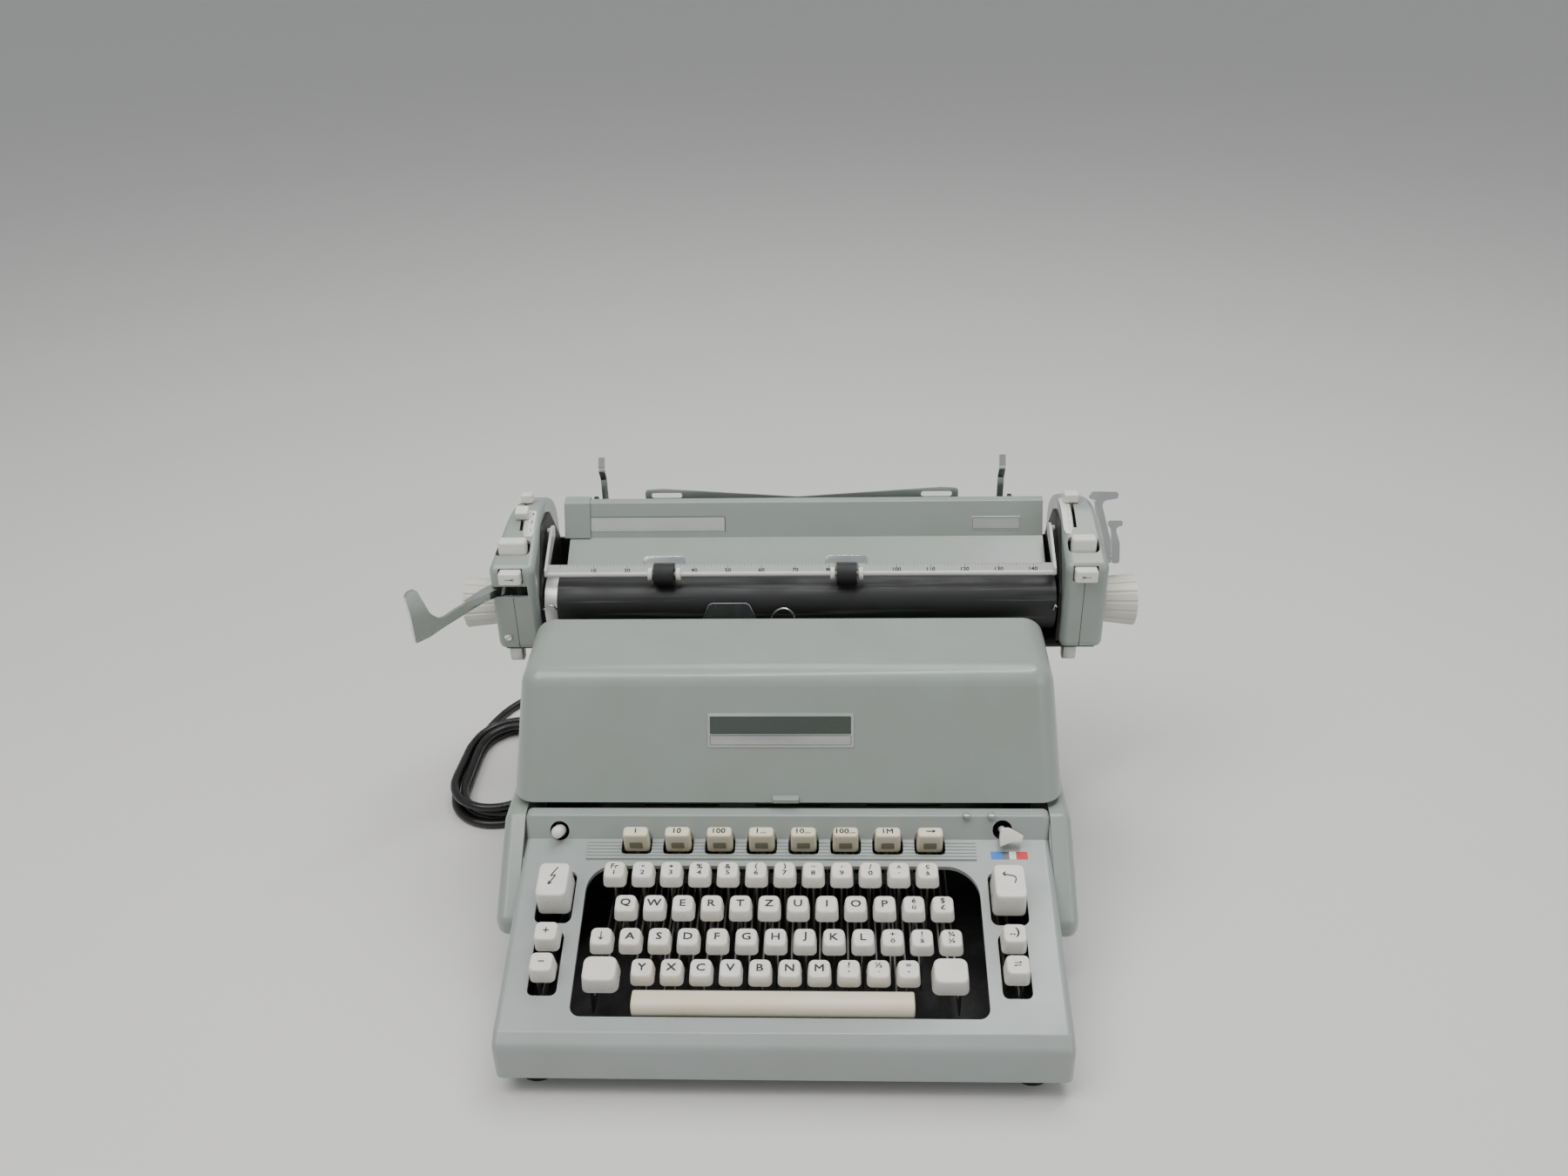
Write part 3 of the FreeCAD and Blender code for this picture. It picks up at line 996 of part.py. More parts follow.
def mains_plug():
    """Moulded two-pin plug lying on the desk: a tapered body and its pins, pointing away from the cord."""
    a, b = V(*CORD_OUT[-2]), V(*CORD_OUT[-1])
    length, rear_w, front_w, thick = 34.0, 12.0, 26.0, 15.0
    outline = [(-rear_w / 2, 0, 2), (rear_w / 2, 0, 2), (front_w / 2, 14, 6), (front_w / 2, length, 2),
               (-front_w / 2, length, 2), (-front_w / 2, 14, 6)]
    body = prism_z([(x, y, r) for x, y, r in outline], -thick / 2, thick / 2)
    body = fillet(body, 2.2, lambda m, d: abs(abs(m.z) - thick / 2) < 0.01)
    pins = [rod_y(x, length, length + 19, 0, 2.0) for x in (-9.3, 9.3)]
    for pin in pins:
        body = body.fuse(pin)
    heading = math.degrees(math.atan2(b.y - a.y, b.x - a.x)) - 90
    body = turned(body.removeSplitter(), heading, (0, 0, 0), (0, 0, 1))
    return [moved(body, b.x, b.y, b.z)]


# ---- all nodes -----------------------------------------------------------------------------------------
def modelled_nodes():
    return {
        "base_pan": base_pan(), "rubber_feet": rubber_feet(), "keyboard_surround": keyboard_surround(),
        "tab_key_strip": tab_key_strip(), "left_side_casing": side_casing(-1),
        "right_side_casing": side_casing(1),
        "rear_casing": rear_casing(), "chassis_frame": chassis_frame(), "carriage_rails": carriage_rails(),
        "type_segment": type_segment() + pivot_pin(), "typebars": typebars(), "struck_typebar": [typebar()],
        "card_guide": card_guide(), "ribbon": ribbon(), "ribbon_spool_left": ribbon_spool(-1),
        "ribbon_spool_right": ribbon_spool(1), "drive_motor": drive_motor(), "motor_pulley": motor_pulley(),
        "drive_belt": drive_belt(), "power_roller": power_roller(),
        "ribbon_cover": ribbon_cover(),
        "carriage_frame": carriage_frame() + arm_brackets(),
        "left_end_housing": left_end_housing() + lever_post(),
        "right_end_housing": right_end_housing(), "paper_table": paper_table(),
        "form_support": form_support(),
        "paper_support_arms": paper_support_arms(), "paper_edge_guide": paper_edge_guide(),
        "platen_roller": platen_roller(), "platen_shaft": platen_shaft(), "platen_knobs": platen_knobs(),
        "paper_bail": paper_bail(), "bail_rollers": bail_rollers(), "return_lever": return_lever(),
        "paper_release_lever": paper_release_lever(), "platen_release_lever": platen_release_lever(),
        "left_margin_key": margin_key(LEFT_KEY_X), "right_margin_key": margin_key(RIGHT_KEY_X),
        "left_top_key": top_key(LEFT_KEY_X, 215.0, 10.5), "right_top_key": top_key(RIGHT_KEY_X, 215.0, 9.0),
        "line_space_slider": slider_key(LEFT_SLIDER_X, 21.0, 10.0),
        "left_margin_slider": slider_key(LEFT_SLIDER_X, -7.0, 9.0),
        "right_margin_slider": slider_key(RIGHT_SLIDER_X, 0.0, 11.0),
        "number_row_keys": row_keys("number"), "upper_row_keys": row_keys("upper"),
        "home_row_keys": row_keys("home"), "lower_row_keys": row_keys("lower"), "typing_key": typing_key(),
        "shift_keys": shift_keys(), "space_bar": space_bar(), "tab_keys": tab_keys(),
        "power_key": big_key(SIDE_LEFT, -146.0), "return_key": big_key(SIDE_RIGHT, 141.0),
        "side_function_keys": pair_keys(SIDE_LEFT, (-152.0, -158.5)) + pair_keys(SIDE_RIGHT, (147.0, 153.5)),
        "ribbon_selector": ribbon_selector(), "reset_knob": reset_knob(),
        "mains_cord": mains_cord(), "cord_coil": cord_coil(), "cord_gland": cord_gland(),
        "mains_plug": mains_plug(),
    }


CORD_NODES = ("mains_cord", "cord_coil", "cord_gland", "mains_plug")


def origin_shift(nodes):
    """Moves the origin to the middle of the machine's footprint, on the desk; the cord doesn't count."""
    machine = [solid for name, solids in nodes.items() if name not in CORD_NODES for solid in solids]
    limits = Part.makeCompound(machine).BoundBox
    return V(-limits.Center.x, -limits.Center.y, -limits.ZMin)


def build():
    nodes = modelled_nodes()
    shift = origin_shift(nodes)
    for solids in nodes.values():
        for solid in solids:
            solid.translate(shift)
    return nodes, shift


def main():
    nodes, shift = build()
    print("nodes", len(nodes), "origin shift", shift)
    for name, solids in nodes.items():
        for solid in solids:
            if not solid.isValid() or solid.Volume <= 0 or len(solid.Solids) != 1:
                print("CHECK", name, solid.isValid(), round(solid.Volume, 1), len(solid.Solids))
        Part.makeCompound(solids).exportStep(f"parts/{name}.step")


if __name__ == "__main__":
    main()
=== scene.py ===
import math
import bmesh
import bpy
from mathutils import Matrix, Vector


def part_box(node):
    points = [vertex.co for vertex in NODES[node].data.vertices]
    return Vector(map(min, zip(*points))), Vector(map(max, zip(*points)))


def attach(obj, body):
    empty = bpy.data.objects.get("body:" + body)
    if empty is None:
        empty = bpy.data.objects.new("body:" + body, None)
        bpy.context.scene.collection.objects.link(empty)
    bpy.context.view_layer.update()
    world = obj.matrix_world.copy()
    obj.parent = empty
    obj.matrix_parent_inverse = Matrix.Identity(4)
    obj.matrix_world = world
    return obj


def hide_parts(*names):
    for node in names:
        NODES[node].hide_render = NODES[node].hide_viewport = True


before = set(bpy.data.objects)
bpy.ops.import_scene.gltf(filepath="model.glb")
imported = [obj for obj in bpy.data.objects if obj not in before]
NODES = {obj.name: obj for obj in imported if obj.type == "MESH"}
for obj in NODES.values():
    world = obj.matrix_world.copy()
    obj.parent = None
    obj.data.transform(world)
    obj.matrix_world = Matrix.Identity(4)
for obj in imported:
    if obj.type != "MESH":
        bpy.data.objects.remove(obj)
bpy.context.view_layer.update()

MM = 0.001

# ---- the machine frame --------------------------------------------------------------------------------
# Sizes below are millimetres. X = 0 is the middle of the keyboard, Y = 0 the QWERTZ row, Z = 0 the desk.
PANEL_FRONT = -82.0          # the front of the keyboard surround
PANEL_Z0, PANEL_SLOPE = 72.7, 0.34
surround_low, surround_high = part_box("keyboard_surround")
SHIFT = Vector(((surround_low.x + surround_high.x) / 2, surround_low.y - PANEL_FRONT * MM, 0.0))


def at(x, y, z):
    """A point of the machine frame, in metres of the row frame."""
    return Vector((x, y, z)) * MM + SHIFT


def panel_z(y):
    return PANEL_Z0 + PANEL_SLOPE * y


# ---- camera, lights and floor -------------------------------------------------------------------------
CAMERA_AT = at(32.7, -650.7, 688.1)
CAMERA_YAW, CAMERA_PITCH, CAMERA_ROLL = map(math.radians, (-2.394, 29.08, 1.413))


def make_camera():
    data = bpy.data.cameras.new("camera")
    data.lens, data.sensor_width, data.sensor_fit = 30.0, 36.0, "HORIZONTAL"
    data.clip_start, data.clip_end = 0.05, 20.0
    camera = bpy.data.objects.new("camera", data)
    bpy.context.scene.collection.objects.link(camera)
    level = math.cos(CAMERA_PITCH)
    ahead = Vector((math.sin(CAMERA_YAW) * level, math.cos(CAMERA_YAW) * level, -math.sin(CAMERA_PITCH)))
    right = Vector((math.cos(CAMERA_YAW), -math.sin(CAMERA_YAW), 0.0))
    down = ahead.cross(right)
    c, s = math.cos(CAMERA_ROLL), math.sin(CAMERA_ROLL)
    right, down = right * c + down * s, down * c - right * s
    turn = Matrix((right, -down, -ahead)).transposed()
    camera.matrix_world = Matrix.Translation(CAMERA_AT) @ turn.to_4x4()
    bpy.context.scene.camera = camera


def area_light(name, place, target, size, power, colour=(1.0, 1.0, 1.0)):
    data = bpy.data.lights.new(name, "AREA")
    data.shape, data.size, data.size_y = "RECTANGLE", size[0], size[1]
    data.energy, data.color = power, colour
    light = bpy.data.objects.new(name, data)
    bpy.context.scene.collection.objects.link(light)
    light.location = place
    light.rotation_euler = (Vector(target) - Vector(place)).to_track_quat("-Z", "Y").to_euler()


FLOOR = 14.0                 # metres from the middle to each side


def make_studio():
    area_light("key_light", (-0.9, -0.5, 1.9), (0, 0.05, 0.1), (1.1, 1.1), 18.0, (1.0, 0.98, 0.95))
    area_light("strip_light", (0.25, -0.15, 1.8), (0.1, 0.0, 0.15), (1.5, 0.18), 11.0)
    area_light("top_light", (0.3, 0.7, 1.9), (0, 0.1, 0.1), (1.6, 0.8), 14.0)
    area_light("fill_light", (1.6, -1.0, 1.0), (0, 0, 0.1), (1.2, 1.2), 6.0, (0.95, 0.97, 1.0))
    world = bpy.data.worlds.new("world")
    bpy.context.scene.world = world
    world.use_nodes = True
    back = world.node_tree.nodes["Background"]
    back.inputs["Color"].default_value = (0.82, 0.84, 0.86, 1.0)
    back.inputs["Strength"].default_value = 0.46
    corners = [(-FLOOR, -FLOOR, 0), (FLOOR, -FLOOR, 0), (FLOOR, FLOOR, 0), (-FLOOR, FLOOR, 0)]
    floor = mesh_object("floor", corners, [(0, 1, 2, 3)])
    floor.data.materials.append(floor_paint())


# ---- materials ----------------------------------------------------------------------------------------
class Look:
    """A material being made: its Principled shader and the nodes that feed it."""

    def __init__(self, name, colour, roughness, metallic=0.0, **sockets):
        self.material = bpy.data.materials.new(name)
        self.material.use_nodes = True
        self.nodes, self.links = self.material.node_tree.nodes, self.material.node_tree.links
        self.shader = self.nodes["Principled BSDF"]
        self.shader.inputs["Base Color"].default_value = (*colour, 1.0)
        self.shader.inputs["Roughness"].default_value = roughness
        self.shader.inputs["Metallic"].default_value = metallic
        for socket, value in sockets.items():
            self.shader.inputs[socket.replace("_", " ")].default_value = value

    def feed(self, socket, value):
        self.links.new(value, self.shader.inputs[socket])

    def noise(self, scale, detail=3.0, stretch=None, roughness=0.5):
        """Object-space noise; stretch scales the coordinates per axis first."""
        place = self.nodes.new("ShaderNodeTexCoord")
        texture = self.nodes.new("ShaderNodeTexNoise")
        texture.inputs["Scale"].default_value = scale
        texture.inputs["Detail"].default_value = detail
        texture.inputs["Roughness"].default_value = roughness
        source = place.outputs["Object"]
        if stretch:
            mapping = self.nodes.new("ShaderNodeMapping")
            mapping.inputs["Scale"].default_value = stretch
            self.links.new(source, mapping.inputs["Vector"])
            source = mapping.outputs["Vector"]
        self.links.new(source, texture.inputs["Vector"])
        return texture.outputs["Fac"]

    def remap(self, value, low, high, start=0.3, end=0.7):
        span = self.nodes.new("ShaderNodeMapRange")
        span.inputs["From Min"].default_value, span.inputs["From Max"].default_value = start, end
        span.inputs["To Min"].default_value, span.inputs["To Max"].default_value = low, high
        self.links.new(value, span.inputs["Value"])
        return span.outputs["Result"]

    def blend(self, factor, first, second):
        mix = self.nodes.new("ShaderNodeMix")
        mix.data_type = "RGBA"
        mix.inputs["A"].default_value, mix.inputs["B"].default_value = (*first, 1.0), (*second, 1.0)
        self.links.new(factor, mix.inputs["Factor"])
        return mix.outputs["Result"]

    def bump(self, height, strength, distance):
        node = self.nodes.new("ShaderNodeBump")
        node.inputs["Strength"].default_value, node.inputs["Distance"].default_value = strength, distance
        self.links.new(height, node.inputs["Height"])
        self.feed("Normal", node.outputs["Normal"])


def tint(colour, share):
    return tuple(min(1.0, c * share) for c in colour)


def stoved_paint(name, colour, roughness=0.36, mottle=0.06):
    """Sprayed and stoved enamel: faint orange peel, a little uneven gloss, hand grime in broad patches."""
    look = Look(name, colour, roughness, Coat_Weight=0.5, Coat_Roughness=0.14)
    grime = look.remap(look.noise(16.0, 5.0, roughness=0.62), 0.0, 1.0, 0.35, 0.72)
    warm = (colour[0] * (1 - mottle), colour[1] * (1 - mottle * 1.2), colour[2] * (1 - mottle * 1.7))
    look.feed("Base Color", look.blend(grime, tint(colour, 1.02), warm))
    gloss = look.remap(look.noise(45.0, 6.0), roughness - 0.05, roughness + 0.09)
    look.feed("Roughness", gloss)
    look.bump(look.noise(650.0, 2.0), 0.05, 0.0004)
    return look.material


def moulded_plastic(name, colour, roughness=0.3, yellow=0.12, grain=1400.0):
    """Moulded key plastic, a little yellowed in patches, with a fine satin grain from handling."""
    look = Look(name, colour, roughness, Subsurface_Weight=0.06, Subsurface_Scale=0.0015)
    patch = look.remap(look.noise(38.0, 4.0), 0.0, 1.0)
    aged = (colour[0] * (1 - 0.2 * yellow), colour[1] * (1 - 0.45 * yellow), colour[2] * (1 - yellow))
    look.feed("Base Color", look.blend(patch, colour, aged))
    gloss = look.remap(look.noise(120.0, 5.0), roughness - 0.07, roughness + 0.12)
    look.feed("Roughness", gloss)
    look.bump(look.noise(grain, 2.0), 0.04, 0.0003)
    return look.material


def bright_metal(name, colour=(0.78, 0.79, 0.78), roughness=0.16, stretch=(1.0, 1.0, 1.0), scratches=0.10):
    """Plated or polished metal with hazy patches and fine scratches along the stretched axis."""
    look = Look(name, colour, roughness, 1.0)
    haze = look.remap(look.noise(60.0, 6.0, stretch), roughness - 0.06, roughness + 0.14)
    look.feed("Roughness", haze)
    stain = look.remap(look.noise(30.0, 4.0), 0.0, 1.0, 0.45, 0.8)
    look.feed("Base Color", look.blend(stain, colour, tint(colour, 0.82)))
    look.bump(look.noise(900.0, 2.0, stretch), scratches, 0.0002)
    return look.material


def dark_coat(name, colour=(0.012, 0.012, 0.012), roughness=0.55):
    """Black enamel or phosphate with a dusting of lint."""
    look = Look(name, colour, roughness)
    dust = look.remap(look.noise(90.0, 7.0, roughness=0.7), 0.0, 1.0, 0.5, 0.85)
    dusty = tuple(c * 0.6 + 0.035 for c in colour)
    look.feed("Base Color", look.blend(dust, colour, dusty))
    look.bump(look.noise(500.0, 4.0), 0.12, 0.0004)
    return look.material


def platen_rubber(name):
    """Ground black rubber: fine turned grain round the roll and pale scuffs along it."""
    look = Look(name, (0.014, 0.014, 0.015), 0.5)
    lines = look.noise(260.0, 3.0, (0.03, 1.0, 1.0))
    scuff = look.remap(lines, 0.0, 0.55, 0.56, 0.70)
    look.feed("Base Color", look.blend(scuff, (0.013, 0.013, 0.014), (0.10, 0.10, 0.10)))
    look.feed("Roughness", look.remap(look.noise(30.0, 5.0), 0.38, 0.6))
    look.bump(look.noise(1500.0, 2.0, (1.0, 0.1, 0.1)), 0.12, 0.0003)
    return look.material


def soft_rubber(name, colour=(0.012, 0.012, 0.012), roughness=0.6):
    look = Look(name, colour, roughness)
    look.feed("Roughness", look.remap(look.noise(80.0, 5.0), roughness - 0.12, roughness + 0.15))
    bloom = look.remap(look.noise(25.0, 5.0), 0.0, 1.0, 0.5, 0.8)
    look.feed("Base Color", look.blend(bloom, colour, tuple(c + 0.012 for c in colour)))
    look.bump(look.noise(1100.0, 2.0), 0.08, 0.0003)
    return look.material


def smoked_plastic(name):
    """Clear guide plate, slightly smoked and hazed by fine scratches."""
    look = Look(name, (0.55, 0.58, 0.58), 0.12, Transmission_Weight=0.92, IOR=1.46)
    look.feed("Roughness", look.remap(look.noise(180.0, 6.0, (1.0, 1.0, 0.2)), 0.06, 0.3))
    return look.material


def ink(name, colour=(0.012, 0.012, 0.013)):
    """Printed or filled marking, slightly worn in places."""
    look = Look(name, colour, 0.5)
    worn = look.remap(look.noise(700.0, 3.0), 0.0, 0.25, 0.6, 0.85)
    look.feed("Base Color", look.blend(worn, colour, tuple(c * 0.85 + 0.06 for c in colour)))
    return look.material


def woven_ribbon(name):
    """Inked woven ribbon: a fine plain weave in relief."""
    look = Look(name, (0.010, 0.010, 0.013), 0.8, Sheen_Weight=0.2)
    place = look.nodes.new("ShaderNodeTexCoord")
    weave = look.nodes.new("ShaderNodeTexWave")
    weave.inputs["Scale"].default_value = 900.0
    weave.inputs["Distortion"].default_value = 0.6
    look.links.new(place.outputs["Object"], weave.inputs["Vector"])
    look.bump(weave.outputs["Fac"], 0.3, 0.0003)
    return look.material


def floor_paint():
    look = Look("floor_paint", (0.74, 0.73, 0.71), 0.6)
    look.feed("Roughness", look.remap(look.noise(6.0, 3.0), 0.55, 0.68))
    return look.material


CASING = (0.292, 0.332, 0.306)
PANEL = (0.312, 0.346, 0.332)
WHITE_KEY = (0.80, 0.79, 0.75)
IVORY_KEY = (0.78, 0.74, 0.58)
paint_casing = stoved_paint("casing_paint", CASING)
paint_panel = stoved_paint("panel_paint", PANEL, 0.40, 0.05)
paint_under = stoved_paint("underside_paint", (0.10, 0.105, 0.10), 0.5)
key_white = moulded_plastic("key_white", WHITE_KEY)
key_ivory = moulded_plastic("key_ivory", IVORY_KEY, 0.34, 0.2)
knob_plastic = moulded_plastic("knob_plastic", (0.66, 0.66, 0.60), 0.32, 0.1)
chrome = bright_metal("chrome")
rolled_steel = bright_metal("rolled_steel", (0.50, 0.50, 0.48), 0.34, (0.1, 1.0, 1.0), 0.2)
satin_alloy = bright_metal("satin_alloy", (0.62, 0.64, 0.64), 0.32, (1.0, 1.0, 1.0), 0.1)
black_coat = dark_coat("black_coat")
motor_coat = dark_coat("motor_coat", (0.05, 0.055, 0.06), 0.45)
roll_rubber = platen_rubber("roll_rubber")
black_rubber = soft_rubber("black_rubber")
cord_sheath = soft_rubber("cord_sheath", (0.010, 0.010, 0.010), 0.28)
clear_guide = smoked_plastic("clear_guide")
black_ink = ink("black_ink")
ribbon_cloth = woven_ribbon("ribbon_cloth")
lever_steel = bright_metal("lever_steel", (0.30, 0.30, 0.29), 0.42, (1.0, 1.0, 0.2), 0.2)
badge_silver = bright_metal("badge_silver", (0.74, 0.75, 0.73), 0.36, (0.05, 1.0, 1.0), 0.15)
badge_enamel = stoved_paint("badge_enamel", (0.055, 0.075, 0.062), 0.3)
sticker_paper = stoved_paint("sticker_paper", (0.27, 0.25, 0.19), 0.55)
scale_silver_paint = stoved_paint("scale_silver_paint", (0.60, 0.61, 0.59), 0.3)
scale_grey = stoved_paint("scale_grey", (0.50, 0.52, 0.49), 0.42)
# Dark seams between parts, and the painted shade along the paper table's scale strip.
dark_seams_and_painted_shade = ink("dark_seams_and_painted_shade", (0.03, 0.035, 0.03))
faded_ink = ink("faded_ink", (0.20, 0.21, 0.20))
mark_blue = ink("mark_blue", (0.01, 0.19, 0.62))
mark_red = ink("mark_red", (0.62, 0.025, 0.015))
mark_white = stoved_paint("mark_white", (0.74, 0.74, 0.70), 0.4)
mark_dark = stoved_paint("mark_dark", (0.05, 0.06, 0.05), 0.4)

CAD_MATERIALS = (
    (paint_under, "base_pan"),
    (black_rubber, "rubber_feet drive_belt power_roller bail_rollers cord_gland"),
    (paint_panel, "keyboard_surround tab_key_strip"),
    (paint_casing, "left_side_casing right_side_casing rear_casing ribbon_cover left_end_housing"
     " right_end_housing paper_table paper_edge_guide"),
    (black_coat, "chassis_frame carriage_frame"),
    (rolled_steel, "carriage_rails type_segment typebars struck_typebar motor_pulley"),
    (clear_guide, "card_guide"),
    (ribbon_cloth, "ribbon"),
    (satin_alloy, "ribbon_spool_left ribbon_spool_right form_support"),
    (motor_coat, "drive_motor"),
    (chrome, "paper_support_arms return_lever paper_release_lever platen_release_lever"),
    (roll_rubber, "platen_roller"),
    (badge_silver, "platen_shaft"),
    (knob_plastic, "platen_knobs"),
    (scale_silver_paint, "paper_bail"),
    (key_white, "left_margin_key right_margin_key left_top_key right_top_key line_space_slider"
     " left_margin_slider right_margin_slider number_row_keys upper_row_keys home_row_keys lower_row_keys"
     " typing_key shift_keys power_key return_key side_function_keys ribbon_selector reset_knob"),
    (key_ivory, "space_bar tab_keys"),
    (cord_sheath, "mains_plug"),
)


def dress_cad():
    for material, names in CAD_MATERIALS:
        for name in names.split():
            mesh = NODES[name].data
            mesh.materials.clear()
            mesh.materials.append(material)


# ---- mesh builders ------------------------------------------------------------------------------------
def mesh_object(name, vertices, faces):
    mesh = bpy.data.meshes.new(name)
    mesh.from_pydata([Vector(v) for v in vertices], [], faces)
    mesh.update()
    piece = bpy.data.objects.new(name, mesh)
    bpy.context.scene.collection.objects.link(piece)
    return piece


class Shape:
    """Vertices in machine millimetres and the faces between them, gathered from many small solids."""

    def __init__(self):
        self.vertices, self.faces = [], []

    def add(self, vertices, faces, matrix=None):
        base = len(self.vertices)
        place = matrix or Matrix()
        self.vertices += [place @ Vector(v) for v in vertices]
        self.faces += [tuple(base + i for i in face) for face in faces]
        return self

    def merge(self, other, matrix=None):
        return self.add(other.vertices, other.faces, matrix)

    def bevelled(self, width, segments=2):
        """The same shape with every edge sharper than 30 degrees rounded."""
        mesh = bmesh.new()
        corners = [mesh.verts.new(v) for v in self.vertices]
        for face in self.faces:
            mesh.faces.new([corners[i] for i in face])
        bmesh.ops.recalc_face_normals(mesh, faces=mesh.faces)
        sharp = [e for e in mesh.edges if len(e.link_faces) == 2 and e.calc_face_angle(0.0) > math.radians(30)]
        bmesh.ops.bevel(mesh, geom=sharp, offset=width, segments=segments, profile=0.5, affect="EDGES",
                        clamp_overlap=True)
        mesh.verts.index_update()
        result = Shape().add([v.co.copy() for v in mesh.verts],
                             [[v.index for v in f.verts] for f in mesh.faces])
        mesh.free()
        return result

    def piece(self, name, material, body, slot=None, replaces=(), smooth=32.0):
        """Makes the Blender object, which rides on a body."""
        mesh = bpy.data.meshes.new(name)
        mesh.from_pydata([at(*v) for v in self.vertices], [], self.faces)
        mesh.polygons.foreach_set("use_smooth", [True] * len(mesh.polygons))
        mesh.update()
        mesh.set_sharp_from_angle(angle=math.radians(smooth))
        mesh.materials.append(material)
        thing = bpy.data.objects.new(name, mesh)
        bpy.context.scene.collection.objects.link(thing)
        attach(thing, body)
        if replaces:
            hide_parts(*replaces)
        return thing


def extruded(outline, start, end, axis="X"):
    """A closed outline pushed along an axis; outline points are the other two coordinates in order."""
    def place(p, along):
        return {"X": (along, p[0], p[1]), "Y": (p[0], along, p[1]), "Z": (p[0], p[1], along)}[axis]
    count = len(outline)
    vertices = [place(p, start) for p in outline] + [place(p, end) for p in outline]
    faces = [tuple(range(count)), tuple(range(2 * count - 1, count - 1, -1))]
    faces += [(i, i + count, (i + 1) % count + count, (i + 1) % count) for i in range(count)]
    return Shape().add(vertices, faces)


def block(x0, x1, y0, y1, z0, z1):
    return extruded([(x0, y0), (x1, y0), (x1, y1), (x0, y1)], z0, z1, "Z")


def rounded_ring(width, depth, radius, steps=5, sides=0):
    """Corner-rounded rectangle about the origin, anticlockwise, with extra points along its straight sides."""
    r = max(0.05, min(radius, width / 2 - 0.02, depth / 2 - 0.02))
    points = []
    for quarter, (sx, sy) in enumerate(((1, 1), (-1, 1), (-1, -1), (1, -1))):
        cx, cy = sx * (width / 2 - r), sy * (depth / 2 - r)
        for i in range(steps + 1):
            a = math.pi / 2 * (quarter + i / steps)
            points.append((cx + r * math.cos(a), cy + r * math.sin(a)))
    if not sides:
        return points
    ring = []
    for i, (x0, y0) in enumerate(points):
        ring.append((x0, y0))
        if i % (steps + 1) == steps:
            x1, y1 = points[(i + 1) % len(points)]
            ring += [(x0 + (x1 - x0) * k / (sides + 1), y0 + (y1 - y0) * k / (sides + 1))
                     for k in range(1, sides + 1)]
    return ring


def ring_faces(total, count):
    """Side faces of a shape whose total vertices lie in rings of count."""
    return [(base + i, base + (i + 1) % count, base + count + (i + 1) % count, base + count + i)
            for base in range(0, total - count, count) for i in range(count)]


def lofted(vertices, count):
    """A closed shape through rings of count vertices."""
    total = len(vertices)
    ends = [tuple(range(count)), tuple(range(total - 1, total - count - 1, -1))]
    return Shape().add(vertices, ends + ring_faces(total, count))


def turned_profile(profile, centre, axis="X", steps=40):
    """A lathe shape: profile is (along, radius) pairs about an axis through centre."""
    cx, cy, cz = centre
    vertices = []
    for along, r in profile:
        for i in range(steps):
            a = 2 * math.pi * i / steps
            u, w = r * math.cos(a), r * math.sin(a)
            vertices.append({"X": (cx + along, cy + u, cz + w), "Y": (cx + u, cy + along, cz + w),
                             "Z": (cx + u, cy + w, cz + along)}[axis])
    return lofted(vertices, steps)


def wire(points, radius, sides=8):
    """A round wire along points."""
    path = [Vector(p) for p in points]
    vertices = []
    side = Vector((0, 0, 1))
    for i, p in enumerate(path):
        ahead = (path[min(i + 1, len(path) - 1)] - path[max(i - 1, 0)]).normalized()
        u = ahead.cross(side)
        if u.length < 0.05:
            u = ahead.cross(Vector((1, 0, 0)))
        u.normalize()
        w = ahead.cross(u)
        vertices += [p + (u * math.cos(a) + w * math.sin(a)) * radius
                     for a in (2 * math.pi * k / sides for k in range(sides))]
    return lofted(vertices, sides)


def smooth_path(points, steps=6):
    """A Catmull-Rom line through points."""
    path = [Vector(p) for p in points]
    path = [path[0] * 2 - path[1]] + path + [path[-1] * 2 - path[-2]]
    line = []
    for a, b, c, d in zip(path, path[1:], path[2:], path[3:]):
        for i in range(steps):
            t = i / steps
            line.append(0.5 * (2 * b + (c - a) * t + (2 * a - 5 * b + 4 * c - d) * t ** 2
                               + (3 * b - a - 3 * c + d) * t ** 3))
    return line + [path[-2]]


# ---- legends ------------------------------------------------------------------------------------------
GLYPHS = {}
WIDE = 1.25                  # the legends are an extended face
BOLD = 0.024                 # and printed a little heavy
LEGEND_LIFT = 0.09           # height of the print over the dished top


def glyph(text, size):
    """Flat outline of a short generic legend, centred on the origin: (points, faces)."""
    if (text, size) not in GLYPHS:
        curve = bpy.data.curves.new("glyph", "FONT")
        curve.body, curve.size = text, size
        curve.align_x, curve.align_y = "CENTER", "CENTER"
        curve.resolution_u = 2
        holder = bpy.data.objects.new("glyph", curve)
        mesh = bpy.data.meshes.new_from_object(holder)
        points = [(v.co.x, v.co.y) for v in mesh.vertices]
        faces = [tuple(p.vertices) for p in mesh.polygons]
        x_mid = (min(p[0] for p in points) + max(p[0] for p in points)) / 2
        y_mid = (min(p[1] for p in points) + max(p[1] for p in points)) / 2
        flat = [((x - x_mid) * WIDE, y - y_mid) for x, y in points]
        corners = [(i * size * BOLD, j * size * BOLD) for i in (-1, 1) for j in (-1, 1)]
        heavy = [(x + i, y + j) for i, j in corners for x, y in flat]
        GLYPHS[text, size] = heavy, [tuple(i + copy * len(flat) for i in face)
                                     for copy in range(len(corners)) for face in faces]
        bpy.data.objects.remove(holder)
        bpy.data.meshes.remove(mesh)
        bpy.data.curves.remove(curve)
    return GLYPHS[text, size]


